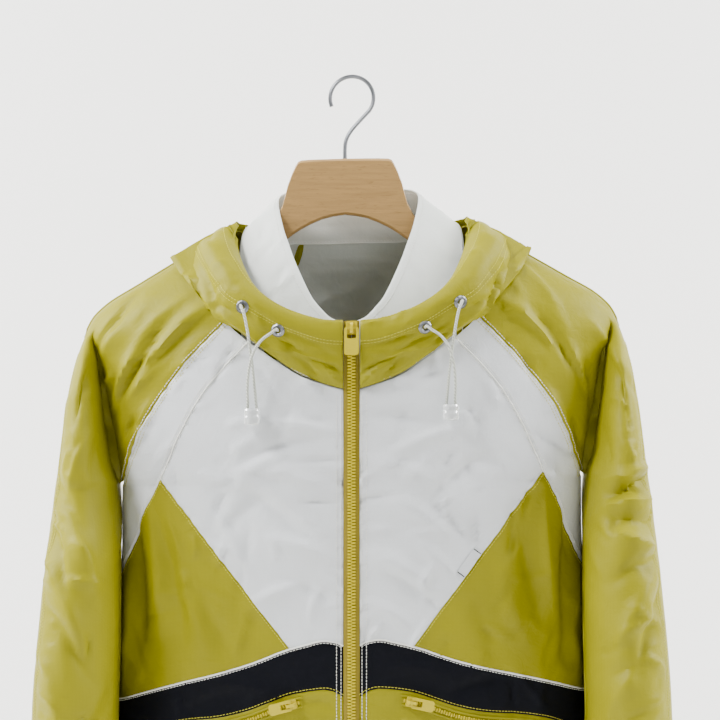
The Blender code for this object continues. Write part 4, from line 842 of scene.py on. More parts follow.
def lacquered_beech(name, colour):
    """Beech, sanded and thinly lacquered: pale tan with fine straight grain and short dark flecks."""
    mat, tree = blank(name)
    place_at = node(tree, "ShaderNodeTexCoord")
    stretched = node(tree, "ShaderNodeMapping", [(place_at, "Object", "Vector")], Scale=(9.0, 60.0, 120.0))
    # growth rings 1.5 to 3 mm apart, drawn out along the arms
    grain = node(tree, "ShaderNodeTexNoise", [(stretched, "Vector", "Vector")], Scale=3.2, Detail=6.0,
                 Roughness=0.62, Distortion=0.5)
    flecks_at = node(tree, "ShaderNodeMapping", [(place_at, "Object", "Vector")], Scale=(160.0, 900.0, 900.0))
    flecks = node(tree, "ShaderNodeTexNoise", [(flecks_at, "Vector", "Vector")], Scale=1.0, Detail=2.0)
    shade = node(tree, "ShaderNodeMixRGB", [(grain, "Fac", "Fac")], Color1=(*[c * 0.62 for c in colour], 1),
                 Color2=(*[min(c * 1.25, 1) for c in colour], 1))
    spots = node(tree, "ShaderNodeMapRange", [(flecks, "Fac", "Value")],
                 **{"From Min": 0.60, "From Max": 0.72, "To Min": 0.0, "To Max": 0.35})
    both = node(tree, "ShaderNodeMixRGB", [(shade, "Color", "Color1"), (spots, "Result", "Fac")],
                Color2=(*[c * 0.4 for c in colour], 1))
    bump = node(tree, "ShaderNodeBump", [(grain, "Fac", "Height")], Strength=0.12, Distance=0.0005)
    shader = bumped(tree, both, bump, 0.42)
    shader.inputs["Coat Weight"].default_value = 0.25
    shader.inputs["Coat Roughness"].default_value = 0.25
    surface(tree, shader)
    return mat


def clear_resin(name, colour):
    """Polypropylene, moulded thin: milky and glossy, letting a little light through."""
    mat, tree = blank(name)
    place_at = node(tree, "ShaderNodeTexCoord")
    flow = node(tree, "ShaderNodeTexNoise", [(place_at, "Object", "Vector")], Scale=300.0, Detail=2.0)
    shade = node(tree, "ShaderNodeMixRGB", [(flow, "Fac", "Fac")], Color1=(*[c * 0.92 for c in colour], 1),
                 Color2=(*colour, 1))
    shader = node(tree, "ShaderNodeBsdfPrincipled", [(shade, "Color", "Base Color")], Roughness=0.16)
    shader.inputs["Transmission Weight"].default_value = 0.35
    shader.inputs["Coat Weight"].default_value = 0.5
    surface(tree, shader)
    return mat


def painted_studio(name, colour):
    """Matt emulsion on a plain board: the floor and the wall behind it."""
    mat, tree = blank(name)
    place_at = node(tree, "ShaderNodeTexCoord")
    roller = node(tree, "ShaderNodeTexNoise", [(place_at, "Object", "Vector")], Scale=60.0, Detail=2.0)
    shade = node(tree, "ShaderNodeMixRGB", [(roller, "Fac", "Fac")], Color1=(*[c * 0.985 for c in colour], 1),
                 Color2=(*colour, 1))
    surface(tree, node(tree, "ShaderNodeBsdfPrincipled", [(shade, "Color", "Base Color")], Roughness=0.85))
    return mat


MATERIALS = {}


def finish(kind):
    """The material of one kind, made once from the colours in the sidebar."""
    if kind not in MATERIALS:
        c = {key: tuple(getattr(bpy.context.scene.jacket_colours, key)) for key in COLOURS}
        MATERIALS.update({
            "shell": woven_nylon("dyed_woven_nylon_yellow", c["shell"], rough=0.5, sheen=0.0, crush=0.5,
                                 gloss=0.22),
            "white": woven_nylon("bleached_woven_nylon_white", c["white"], rough=0.5, sheen=0.05, crush=0.55,
                                 gloss=0.3, deep=0.93),
            "navy": woven_nylon("dyed_woven_nylon_navy", c["navy"], rough=0.65, sheen=0.0, crush=0.3,
                                gloss=0.12),
            "lining": woven_nylon("woven_nylon_lining_white", c["lining"], rough=0.42, sheen=0.1, crush=0.35,
                                  deep=0.94),
            "tape": woven_tape("woven_polyester_tape", c["tape"]),
            "teeth": moulded_resin("moulded_acetal_teeth", c["teeth"]),
            "thread": moulded_resin("spun_polyester_thread_white", c["thread"], rough=0.6),
            "gold_thread": moulded_resin("spun_polyester_thread_yellow", c["gold_thread"], rough=0.6),
            "cord": braided_cord("braided_polyester_cord", c["cord"]),
            "steel": plated_steel("plated_pressed_steel", c["steel"]),
            "wood": lacquered_beech("lacquered_beech", c["wood"]),
            "clear": clear_resin("moulded_polypropylene", c["clear"]),
            "label": woven_tape("woven_label_tape", c["white"], rib_mm=0.7),
            "studio": painted_studio("matt_emulsion", c["studio"]),
        })
    return MATERIALS[kind]


# ---------------------------------------------------------------- the pieces
def tag(side):
    return "L" if side > 0 else "R"


def split(table, at):
    """A seam's line cut in two at x."""
    line = seam_line(table)
    cut = np.array([[at, smooth(table, "x", "z")(at)]])
    return (np.vstack([line[line[:, 0] < at], cut]), np.vstack([cut, line[line[:, 0] > at]]))


def side_line(z_from, z_to):
    z = np.linspace(z_from, z_to, 40)
    return np.column_stack([reach(z), z])


def centre_line(z_from, z_to):
    return np.array([(PANEL_X, z_from), (PANEL_X, z_to)])


def front_grids():
    """The cut pieces of one front: name, material and grid of surface points."""
    inner, diagonal, strip = seam_line(INNER_SEAM), seam_line(DIAGONAL), seam_line(STRIP_END)
    band_in, band_out = split(BAND_TOP, DIAGONAL["x"][1])
    end = seam_line(BAND_END)
    band_out[-1, 0], end[-1, 0] = reach(band_out[-1, 1]), reach(end[-1, 1])
    neck, corner, raglan = seam_line(NECK_LINE), seam_line(NECK_CORNER), seam_line(RAGLAN, "z")
    near, tip = strip[-12], np.array([reach(STRIP_TIP_Z), STRIP_TIP_Z])
    low = np.vstack([strip[:-12], near])
    top = np.vstack([band_in, band_out[1:]])
    band_low = end[-1, 1]
    hem = np.array([(PANEL_X, HEM_Z), (reach(HEM_Z), HEM_Z)])
    pieces = [
        ("front_upper", "white", (neck, band_in, centre_line(neck[0, 1], band_in[0, 1]),
                                  np.vstack([inner, diagonal[1:]]))),
        ("raglan_strip", "white", (corner, np.array([near, tip]), np.vstack([inner, low[1:]]),
                                   np.vstack([raglan, side_line(ARMPIT_Z, STRIP_TIP_Z)[1:]]))),
        ("front_side", "shell", (np.array([diagonal[1], strip[1]]), band_out, diagonal[1:],
                                 np.vstack([low[1:], side_line(-433.0, band_out[-1, 1])]))),
        ("navy_band", "navy", (top, end, centre_line(top[0, 1], end[0, 1]), side_line(top[-1, 1], band_low))),
        ("front_lower", "shell", (end, hem, centre_line(end[0, 1], HEM_Z), side_line(band_low, HEM_Z))),
        ("hem_front", "shell", (hem, hem + (0, HEM_END_Z - HEM_Z), centre_line(HEM_Z, HEM_END_Z),
                                side_line(HEM_Z, HEM_END_Z))),
    ]
    return [(name, kind, body("front", *fill(*lines))) for name, kind, lines in pieces]


SLOTS = {"white": "white_nylon", "shell": "shell_nylon", "navy": "navy_nylon", "lining": "lining"}


def sew_fronts():
    for name, kind, grid in front_grids():
        for side in (-1, 1):
            ob, p, _ = cloth(f"cloth_{name}_{tag(side)}", grid, side, finish(kind), [f"{name}_{tag(side)}"],
                             slot=SLOTS[kind])


def sew_back():
    raglan = smooth(BACK_RAGLAN, "z", "x")

    def limit(z):
        return np.where(z > ARMPIT_Z, raglan(z), reach(z))
    cuts = [("back", BACK_NECK_Z, HEM_Z, "shell", limit, 0.0, WALL),
            ("hem_back", HEM_Z, HEM_END_Z, "shell", reach, 0.0, WALL),
            ("back_lining", BACK_NECK_Z - 0.3, -330.0, "lining",
             lambda z: np.minimum(raglan(z) - 4, 100.0), -1.3, 0.8)]
    for name, top, low, kind, side_of, lift, thick in cuts:
        v = marks(top - low)
        z = (top + (low - top) * v)[:, None]
        t = (marks(2 * 210.0) * 2 - 1)[None, :]
        angle = np.abs(t) * to_angle(side_of(z), z)
        p = body("back", angle, z)
        p[..., 0] *= np.where(t < 0, -1, 1)
        n = grid_normals(p, np.broadcast_to((0.0, 1.0, 0.0), p.shape))
        x = np.abs(p[..., 0])
        high = np.where(p[..., 0] > 0, relief(STROKES["back"], 1, x, p[..., 2]),
                        relief(STROKES["back"], -1, x, p[..., 2])) * frontal(n)
        if kind == "lining":
            high = -np.abs(relief(LINING_STROKES, 1, p[..., 0], p[..., 2]))
        ob, p, n = cloth(f"cloth_{name}", p + n * lift, 1, finish(kind), [name], "back",
                         slot=SLOTS[kind], height=high, thick=thick)


def sew_sleeves():
    for layer in ("front", "back"):
        neck = smooth(NECK_SIDE, "z", "x")
        seam = smooth(RAGLAN, "z", "x") if layer == "front" else smooth(BACK_RAGLAN, "z", "x")

        def start(z):
            if layer == "front":
                return np.where(z > RAGLAN["z"][0], neck(z), seam(z))
            return np.where(z > BACK_NECK_Z, 97 + (z - NECK_SIDE_Z) * 0.9, seam(z))
        v = marks(NECK_SIDE_Z - CUFF_Z)
        z = (NECK_SIDE_Z + (CUFF_Z - NECK_SIDE_Z) * v)[:, None]
        held = np.maximum(z, ARMPIT_Z + 2)
        s_chest, s_arm = marks(90.0)[None, :], marks(150.0)[None, 1:]
        near = chest(layer, s_chest, held, start(held))
        far = arm(layer, s_arm, z, start(np.clip(z, ARMPIT_Z, NECK_SIDE_Z)))
        first = arm(layer, np.zeros((1, 1)), z, start(np.clip(z, ARMPIT_Z, NECK_SIDE_Z)))
        below = z < ARMPIT_Z + 2
        near = np.where(below[..., None], first, near)
        p = np.concatenate([near, far], axis=1)
        if layer == "back":
            # the underarm and overarm seams lie between the two pieces
            p[:, -1, 1] += 0.15
        outward = facing_out(layer)
        for side in (-1, 1):
            ob, q, _ = cloth(f"cloth_sleeve_{layer}_{tag(side)}", p, side, finish("shell"),
                             [f"sleeve_{layer}_{tag(side)}"], layer, ("left", "right", "bottom"),
                             outward=outward)


# Gathers round a cuff, their height, the height over which they fade, how far it stands out and its wall
CUFF = {"gathers": 26, "wave": 0.5, "fade": 24, "proud": 0.25, "thick": 1.4}


def sew_cuffs():
    """Plain turned-up cuffs with the gathers of the sleeve above them."""
    z = np.linspace(CUFF_Z - 0.2, CUFF_END_Z, 13)[:, None]
    s = np.linspace(0, 1, 41)[None, :]
    front, back = arm("front", s, z, UNDERARM_X), arm("back", s[:, ::-1], z, UNDERARM_X)
    ring = np.concatenate([front, back[:, 1:-1]], axis=1)
    middle = ring.mean(axis=1, keepdims=True)
    out = unit((ring - middle) * (1, 1, 0))
    rows, cols = ring.shape[:2]
    turn = np.arange(cols) * 2 * math.pi / cols
    wave = CUFF["wave"] * np.sin(turn * CUFF["gathers"])[None, :]
    wave = wave * np.cos((z - (CUFF_Z + CUFF_END_Z) / 2) / CUFF["fade"])
    outer = ring + out * (wave + CUFF["proud"])[..., None]
    inner = outer - out * CUFF["thick"]
    points = np.concatenate([outer, inner[::-1]], axis=0)
    faces = grid_quads(2 * rows, cols, closed=True)
    faces += [[(2 * rows - 1) * cols + k, (2 * rows - 1) * cols + (k + 1) % cols, (k + 1) % cols, k]
              for k in range(cols)]
    flat = points.reshape(-1, 3)
    for side in (-1, 1):
        ob = make(f"cloth_cuff_{tag(side)}", *on_side(flat, faces, side), finish("shell"),
                  [f"cuff_{tag(side)}"], "shell_nylon")


# Hood creases: side, place along the ribs and across them, direction in degrees, half length, half width
# and height in mm; the hood is measured 20 mm to a rib each way
RIB_MM = 20.0
HOOD_STROKES = [
    (0, 1.0, 1.15, 10, 26, 3.4, -1.6), (0, 0.6, 0.75, 38, 22, 3.2, 1.7), (0, 1.4, 0.55, 52, 20, 3.0, -1.6),
    (0, 2.4, 1.2, -14, 26, 3.6, 1.4), (0, 3.2, 0.7, 56, 20, 3.2, 1.4), (0, 2.7, 1.7, 8, 26, 3.4, -1.4),
    (0, 4.2, 1.3, 20, 28, 3.6, 1.6), (0, 4.8, 2.0, -10, 26, 3.6, -1.6), (0, 5.6, 1.2, 36, 28, 4.0, 1.8),
    (-1, 6.4, 2.2, 14, 30, 4.4, -2.0), (1, 6.2, 1.8, 28, 30, 4.4, -2.2), (1, 7.0, 2.4, -8, 30, 4.2, 2.0),
    (-1, 7.4, 1.6, 34, 30, 4.6, 2.2), (0, 8.4, 2.1, 12, 34, 5.0, -2.2), (0, 9.4, 1.6, 30, 34, 5.0, 2.2),
    (0, 10.4, 2.2, 6, 40, 6.0, -2.4), (0, 11.4, 1.7, 18, 40, 6.0, 2.2), (0, 12.4, 2.4, -6, 40, 6.0, -2.0),
    (0, 12.8, 1.2, 80, 26, 6.0, 1.8), (0, 11.0, 3.2, 8, 40, 5.0, 1.6), (0, 9.0, 3.2, -4, 36, 4.0, -1.3),
    (-1, 1.9, 2.35, 4, 24, 2.6, -0.9), (1, 1.6, 2.3, -6, 24, 2.6, -0.9), (0, 3.9, 2.6, 6, 26, 2.6, -0.9),
]
HOOD_CRUMPLES = {"box": (0, 0, 260, 80), "turn": 30, "spread": 50, "long": 12, "wide": 2.0, "high": 0.5,
                 "dense": 32, "seed": 31}
COLLAR_STROKES = [
    (0, 10.4, 0.4, 4, 26, 3.0, -1.1), (0, 10.9, 1.3, -6, 28, 2.6, 1.0), (0, 9.6, 0.9, 26, 18, 2.6, -0.9),
    (0, 2.6, 0.8, 40, 18, 2.8, 0.8), (0, 4.6, 1.2, 52, 20, 2.8, -0.9), (0, 6.8, 0.9, 60, 18, 2.8, 0.9),
]
LINING_STROKES = [
    (1, -20, -190, 24, 60, 6, 1.8), (1, 30, -215, -26, 60, 6, 1.7), (1, -44, -230, 40, 46, 6, -1.6),
    (1, 46, -180, -34, 44, 5, -1.5), (1, 0, -250, 6, 70, 7, 1.4), (1, -10, -166, 4, 60, 4, -1.3),
    (1, 18, -158, -8, 44, 3.6, 1.3), (1, -36, -172, 10, 30, 3.6, 1.2),
]
RIDGE_NORMAL = (0.545, 0.838)   # across the shoulder ridge, as x and z


def clear_of_body(p, gap):
    """Keep the hood's points off the shoulders and the back."""
    x, y, z = p[..., 0], p[..., 1], p[..., 2]
    lean, rise = RIDGE_NORMAL
    angle = to_angle(x, z)
    front, back = body("front", angle, z)[..., 1] - gap, body("back", angle, z)[..., 1] + gap
    inside = (z > ARMPIT_Z) & (x < reach(z) + gap / lean) & (y > front) & (y < back)
    sideways = np.minimum(y - front, back - y)
    upwards = (reach(z) - x) * lean + gap
    up = inside & (upwards < sideways + 9)
    out = p.copy()
    out[..., 0] = np.where(up, x + lean * upwards, x)
    out[..., 2] = np.where(up, z + rise * upwards, z)
    out[..., 1] = np.where(inside & ~up, np.where(y < 0, front, back), y)
    return out


def hood_grid(u, v):
    """Points of the hood; u counts ribs from the zip, v from the seam (0) to the turned-in edge (5)."""
    ribs = np.array([spline(HOOD[name], u) for name in ("seam", "rest", "fold", "crest", "edge", "turn")])
    p = np.array([spline(ribs[:, k], v) for k in range(len(u))])
    on_body = body("front", to_angle(p[..., 0], p[..., 2]), p[..., 2])[..., 1] - 1.3
    seated = ((1 - ease(2 * v))[None, :] * ease((7.5 - u) / 1.5)[:, None])
    p[..., 1] += (on_body - p[..., 1]) * seated
    gap = np.where(v < 1.6, 1.4 + 3.1 * ease(2 * v), 3.0)[None, :]
    return clear_of_body(p, gap)


def sew_hood():
    last = len(HOOD["seam"]) - 1.0
    v = np.concatenate([[0, 0.03, 0.07], np.linspace(0.14, 3.6, 24), np.linspace(3.7, 4.3, 7),
                        [4.5, 4.75, 5.0]])
    small = scattered(HOOD_CRUMPLES)
    cuts = [("hood_side", np.concatenate([[0, 0.03, 0.07], np.linspace(0.15, HOOD_SPLIT - 0.12, 70),
                                          [HOOD_SPLIT - 0.05, HOOD_SPLIT - 0.01]]), (-1, 1)),
            ("hood_centre", np.concatenate([[HOOD_SPLIT + 0.01, HOOD_SPLIT + 0.05],
                                            np.linspace(HOOD_SPLIT + 0.12, last, 36)]), (1,))]
    strokes = taller([(s, a * RIB_MM, b * RIB_MM, *rest) for s, a, b, *rest in HOOD_STROKES],
                     GAIN["hood"]) + small
    for name, u, sides in cuts:
        half = hood_grid(u, v)
        for side in sides:
            uu, vv = np.meshgrid(u * RIB_MM, v * RIB_MM, indexing="ij")
            high = relief(strokes, side, uu, vv) * ease(v / 0.5) * ease((5.0 - v) / 0.7)
            # a stitched channel for the drawcord stands proud along the opening
            rise, drop = ease((v - CHANNEL["from"]) / 0.15), ease((v - CHANNEL["to"]) / 0.3)
            channel = CHANNEL["proud"] * (rise - drop)
            high = high * np.where(v > 2.4, 0.55, 1.0) + channel
            p = half
            if name == "hood_centre":
                p = np.concatenate([half, (half * (-1, 1, 1))[-2::-1]], axis=0)
                other = relief(strokes, -side, uu, vv) * ease(v / 0.5) * ease((5.0 - v) / 0.7) + channel
                high = np.concatenate([high, other[-2::-1]], axis=0)
            outward = unit(p - p.mean(axis=(0, 1)) * (1, 0, 0) * (name == "hood_centre") - (0, 20, -240))
            label = f"{name}_{tag(side)}" if name == "hood_side" else name
            edges = ("left", "top") if name == "hood_side" else ("left", "top", "bottom")
            ob, q, n = cloth(f"cloth_{label}", p, side, finish("shell"), [label], edges=edges,
                             outward=outward, height=high)
            sew_hood_channel(label, q, n, side, v)


def sew_hood_channel(label, q, n, side, v):
    """Three rows of stitches along the cord's channel."""
    parts = []
    for at in CHANNEL["rows"]:
        j = int(np.argmin(np.abs(v - at)))
        parts.append(stitches(q[:, j], n[:, j], pitch=STITCH, long=2.2, thick=0.3))
    points, faces = gather(parts)
    make(f"stitch_{label}", place(points, side), faces, finish("gold_thread"), slot="shell_nylon")


def sew_collar():
    count = len(COLLAR["low"]) - 1
    u = np.linspace(0, count, 64)
    v = np.array([0, 0.02, 0.05, 0.1, 0.2, 0.3, 0.4, 0.5, 0.6, 0.7, 0.8, 0.9, 0.95, 0.98, 1.0])
    low, high = spline(COLLAR["low"], u), spline(COLLAR["high"], u)
    p = low[:, None] + (high - low)[:, None] * v[None, :, None]
    uu, vv = np.meshgrid(u * RIB_MM, v * COLLAR_TALL, indexing="ij")
    strokes = [(s, a * RIB_MM, b * RIB_MM, *rest) for s, a, b, *rest in COLLAR_STROKES]
    strokes += scattered({"box": (0, 0, 220, 40), "turn": 50, "spread": 40, "long": 9, "wide": 1.8,
                          "high": 0.3, "dense": 40, "seed": 41})
    bump = [relief(strokes, side, uu, vv) for side in (1, -1)]
    p = np.concatenate([p, (p * (-1, 1, 1))[-2::-1]], axis=0)
    height = np.concatenate([bump[0], bump[1][-2::-1]], axis=0)
    p = p + np.stack([COLLAR_SHIFT * v, 0 * v, 0 * v], axis=-1)[None]
    outward = p * (1, 1, 0) + (0, 10, 0)
    ob, q, n = cloth("cloth_collar", p, 1, finish("lining"), ["collar"], edges=("left", "right", "top"),
                     outward=outward, height=height, thick=1.1, slot="lining")
    parts = []
    for j in (-4, 2):
        parts.append(stitches(q[:, j], n[:, j], pitch=STITCH, long=2.1, thick=0.26))
        parts.append(stitches(q[:, j] - n[:, j] * 1.1, -n[:, j], pitch=STITCH, long=2.1, thick=0.26))
    points, faces = gather(parts)
    make("stitch_collar", place(points, 1), faces, finish("thread"), slot="lining")


def topstitch():
    """Rows of topstitching beside the seams of the fronts, the zip and the overarm seams."""
    rows = [
        # seam, how far to the side of it in mm, thread
        ("inner", 1.6, "thread"), ("inner", -1.6, "thread"), ("inner", -3.4, "thread"),
        ("raglan", -1.8, "thread"), ("raglan", 1.8, "gold_thread"), ("raglan", 3.8, "gold_thread"),
        ("diagonal", 1.8, "thread"), ("diagonal", -1.8, "gold_thread"),
        ("strip_end", 1.8, "gold_thread"), ("strip_end", -1.8, "thread"),
        ("band_top", 1.8, "thread"), ("band_end", -1.8, "gold_thread"),
        ("neck", -2.0, "thread"),
    ]
    groups = {"thread": [], "gold_thread": []}
    for side in (-1, 1):
        for seam, aside, thread in rows:
            line = evenly(SEAM_LINES[seam], 90)
            t = unit(np.gradient(line, axis=0))
            moved = line + np.column_stack([t[:, 1], -t[:, 0]]) * aside
            p, n = on_front(moved, 0.05, side)
            points, faces = stitches(p, n, pitch=STITCH, long=2.2, thick=0.3)
            groups[thread].append(on_side(points, faces, side))
        for x in (PANEL_X + 1.8, PANEL_X + 5.6):
            z = np.linspace(-276, HEM_END_Z + 3, 200)
            p, n = on_front(np.column_stack([np.full_like(z, x), z]), 0.05, side)
            points, faces = stitches(p, n, pitch=STITCH, long=2.3, thick=0.34)
            groups["thread"].append(on_side(points, faces, side))
        z = np.linspace(OVERARM_TOP_Z, CUFF_Z, 260)
        for s in (0.80, 0.83):
            p = arm("front", np.full_like(z, s), z, UNDERARM_X)
            q = arm("front", np.full_like(z, s + 0.01), z, UNDERARM_X)
            n = unit(np.cross(q - p, np.gradient(p, axis=0)))
            n = n * np.where(n[:, :1] < 0, -1, 1)
            p = p + n * (relief(STROKES["front"], side, p[:, 0], z) * frontal(n))[:, None]
            points, faces = stitches(p, n, pitch=STITCH, long=2.2, thick=0.34)
            groups["gold_thread"].append(on_side(points, faces, side))
    for kind, parts in groups.items():
        points, faces = gather(parts)
        make(f"stitch_front_{kind}", points, faces, finish(kind), slot="white_nylon")


def sew_painted_highlights():
    """Painted highlight: thin pale strands along the band's upper seam and the inner seam, where light
    catches the seam's edge.
    """
    for seam, kind, r in (("band_top", "thread", 0.8), ("inner", "thread", 0.7)):
        parts = []
        for side in (-1, 1):
            p, n = on_front(evenly(SEAM_LINES[seam], 160), 0.15, side)
            points, faces = swept(p, r, 8, 0.8, n)
            parts.append(on_side(points, faces, side))
        points, faces = gather(parts)
        make(f"piping_{seam}", points, faces, finish(kind), slot="white_nylon")


def zip_tooth(wide, tall, deep):
    """One moulded tooth: a block with a rounded head."""
    rings = []
    for x, k in ((0, 0.75), (0.25, 1.0), (0.72, 1.0), (1.0, 0.6)):
        h, d = tall * k / 2, deep * (0.5 + 0.5 * k)
        rings.append([(x * wide, 0, -h), (x * wide, -d * 0.7, -h), (x * wide, -d, -h * 0.55),
                      (x * wide, -d, h * 0.55), (x * wide, -d * 0.7, h), (x * wide, 0, h)])
    points = np.array(rings).reshape(-1, 3)
    faces = grid_quads(4, 6, closed=True) + [[5, 4, 3, 2, 1, 0], [18 + k for k in range(6)]]
    return points, faces


def fit_front_zip():
    pitch = TOOTH["pitch"]
    tooth, faces = zip_tooth(TOOTH["wide"], TOOTH["tall"], TOOTH["deep"])
    heads = {-1: [], 1: []}
    z = np.arange(ZIP_TOP_Z - 2, HEM_END_Z + 7, -pitch)
    z = z[(z > ZIP_TOP_Z) | (z < SLIDER_END_Z)]   # the slider covers the teeth between
    for side in (-1, 1):
        for at in z:
            shift = 0 if side > 0 else -pitch / 2
            y = float(zip_y(4.0, at + shift)) - 0.35
            points = (tooth * (-1, 1, 1) + (3.4, y, at + shift))
            heads[side].append((place(points, side), faces if side < 0 else [f[::-1] for f in faces]))
    for side in (-1, 1):
        points, f = gather(heads[side])
        make(f"teeth_{tag(side)}", points, f, finish("teeth"), [f"zip_teeth_{tag(side)}"], "zip_resin", 30)
    for name in ("zip_stop", "zip_slider", "zip_pull"):
        paint(name, "teeth")
    for side in (-1, 1):
        paint(f"zip_tape_{tag(side)}", "tape")


def paint(name, kind):
    """Give a model node that stays its own material."""
    mesh = frame["nodes"][name].data
    mesh.materials.clear()
    mesh.materials.append(finish(kind))


def fit_pockets():
    """Pocket zips under the band: a tape with moulded teeth, and a rolled welt below."""
    end = smooth(BAND_END, "x", "z")
    x = np.linspace(POCKET["from"], POCKET["to"], 120)
    for side in (-1, 1):
        parts = []
        for drop, r in ((POCKET["drop"] + 0.8, 1.0), (POCKET["drop"] + POCKET["width"] - 0.8, 1.1)):
            p, n = on_front(np.column_stack([x, end(x) - drop]), 0.9, side)
            parts.append(swept(p, r, 10, 0.9, n))
        mid = POCKET["drop"] + POCKET["width"] / 2
        p, n = on_front(np.column_stack([x, end(x) - mid]), 0.3, side)
        parts.append(swept(p, 4.0, 10, 0.18, n))
        welt, faces = gather(parts)
        make(f"pocket_welt_{tag(side)}", *on_side(welt, faces, side), finish("shell"),
             [f"pocket_zip_{tag(side)}"], "shell_nylon")
        teeth, base = [], zip_tooth(3.0, 1.5, 1.9)
        at = np.arange(POCKET["from"] + 3, POCKET["to"] - 2, 2.1)
        q, m = on_front(np.column_stack([at, end(at) - mid]), 0.7, side)
        t = unit(np.gradient(q, axis=0))
        for k, (o, nn, tt) in enumerate(zip(q, m, t)):
            across = np.cross(nn, tt)
            turn = 1 if k % 2 else -1
            pts = base[0] @ np.array([across * turn, -nn, tt]) + o - across * turn * 1.7
            teeth.append((pts, base[1]))
        pts, faces = gather(teeth)
        make(f"pocket_teeth_{tag(side)}", place(pts, side), faces, finish("teeth"), slot="zip_resin")
        paint(f"pocket_slider_{tag(side)}", "teeth")
        paint(f"pocket_pull_{tag(side)}", "teeth")


def lay_cords():
    for side in (-1, 1):
        stopper = turn_stopper(side)
        ends = {}
        for which in ("outer", "inner"):
            low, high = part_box(f"eyelet_{which}_{tag(side)}")
            c = np.array((low + high) / 2) / MM
            ends[which] = [c, c + (side * 1.5, -4.0, 1.0)]
        route = place(np.array(CORD_ROUTE), side) / MM
        route = np.vstack([ends["outer"], route, ends["inner"][::-1]])
        line = evenly(spline(route, np.linspace(0, len(route) - 1, 300)), 60) * MM
        curve = bpy.data.curves.new(f"cord_{tag(side)}", "CURVE")
        curve.dimensions = "3D"
        curve.bevel_depth = CORD_D / 2 * MM
        curve.bevel_resolution = 4
        curve.use_fill_caps = True
        strand = curve.splines.new("POLY")
        strand.points.add(len(line) - 1)
        for point, q in zip(strand.points, line):
            point.co = (*q, 1)
        curve.materials.append(finish("cord"))
        ob = bpy.data.objects.new(f"cord_{tag(side)}", curve)
        bpy.context.scene.collection.objects.link(ob)
        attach(ob, BODY_NAME)
        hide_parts(f"drawcord_{tag(side)}")
        for which in ("outer", "inner"):
            paint(f"eyelet_{which}_{tag(side)}", "steel")


def turn_stopper(side):
    """A bell-shaped stopper, turned about the cord's two runs."""
    low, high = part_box(f"cord_stopper_{tag(side)}")
    top = high.z / MM
    cx, cy = (low.x + high.x) / 2 / MM, (low.y + high.y) / 2 / MM
    h = top - low.z / MM
    r = (high.x - low.x) / 2 / MM
    profile = [(0.9, -h), (r - 2.4, -h), (r - 1.0, -h + 0.5), (r - 0.3, -h + 1.6), (r - 0.05, -h * 0.62),
               (r, -h * 0.5), (r - 0.35, -h * 0.44), (r - 0.35, -h * 0.3), (r, -h * 0.24),
               (r - 0.2, -h * 0.1), (r - 0.6, 0), (r - 1.2, 0), (r - 1.5, -h * 0.3), (r - 1.6, -h * 0.7),
               (r - 2.4, -h + 1.7), (0.9, -h + 1.4)]
    sides = 40
    turn = np.linspace(0, 2 * math.pi, sides, endpoint=False)
    points = np.array([[(cx + pr * math.cos(a), cy + pr * math.sin(a), top + ph) for pr, ph in profile]
                       for a in turn]).reshape(-1, 3)
    cols = len(profile)
    faces = [[k * cols + j, k * cols + (j + 1) % cols, (k + 1) % sides * cols + (j + 1) % cols,
              (k + 1) % sides * cols + j] for k in range(sides) for j in range(cols)]
    return make(f"stopper_{tag(side)}", points * MM, faces, finish("clear"), [f"cord_stopper_{tag(side)}"],
                "stopper_resin", 40)


def sew_label():
    """A blank woven label along the diagonal seam, whose ends are turned under; it is drawn flat, with a thin
    navy bar across each end.
    """
    (x0, x1), (z0, z1) = DIAGONAL["x"], DIAGONAL["z"]
    t = unit(np.array([x0 - x1, z0 - z1]))
    off = np.array([-t[1], t[0]])
    height = LABEL["height"]
    middle = np.array([x0 + (height - z0) * (x0 - x1) / (z0 - z1), height]) + off * LABEL["off"]
    a = np.linspace(-0.5, 0.5, 19)[None, :, None] * LABEL["length"]
    b = np.linspace(-0.5, 0.5, 7)[:, None, None] * LABEL["width"]
    flat = middle + t * a + off * b
    p, n = on_front(flat.reshape(-1, 2), 1.0, 1)
    p, n = p.reshape(7, 19, 3), n.reshape(7, 19, 3)
    points, faces = sheet_mesh(p, n, 0.5)
    make("label_blank", place(points, 1), faces, finish("label"), ["label_L"], "label_tape")
    bars = []
    for end in (-0.44, 0.44):
        across = np.linspace(-0.46, 0.46, 9)[:, None]
        line = middle + t * LABEL["length"] * end + off * across * LABEL["width"]
        q, m = on_front(line, 1.05, 1)
        bars.append(swept(q, 0.45, 6, 0.5, m))
    points, faces = gather(bars)
    make("label_bars", place(points, 1), faces, finish("navy"), slot="navy_nylon")


def finish_hanger():
    paint("hanger", "wood")
    paint("hanger_hook", "steel")


# ---------------------------------------------------------------- stage
CAMERA = {"x": 7.2, "z": -246.8, "y": -1960.0, "plane": -60.0, "width": 612.0, "sensor": 36.0}
# The floor bends up into a wall behind the jacket, so from behind the wall hides it. In metres.
STAGE = {"drop": 0.03, "near_y": -3.0, "bend_y": 1.1, "radius": 0.5, "top": 3.2, "half": 3.4}
AIR = 0.16            # light from all round
LIGHTS = [
    # name, place, size in m, power in watts, and what it points at
    ("key", (-1.35, -0.85, 1.15), 0.5, 56, (0, 0, -0.40)),
    ("fill", (1.4, -2.0, 0.3), 1.4, 11, (0, 0, -0.35)),
    ("top", (0.35, -0.35, 1.6), 0.8, 22, (0, 0, -0.35)),
    ("wall_left", (-1.9, 0.1, 0.7), 1.4, 120, (0, 1.6, -0.1)),
    ("wall_right", (1.9, 0.1, 0.7), 1.4, 120, (0, 1.6, -0.1)),
]


def aim(ob, target):
    ob.rotation_euler = (Vector(target) - ob.location).to_track_quat("-Z", "Y").to_euler()


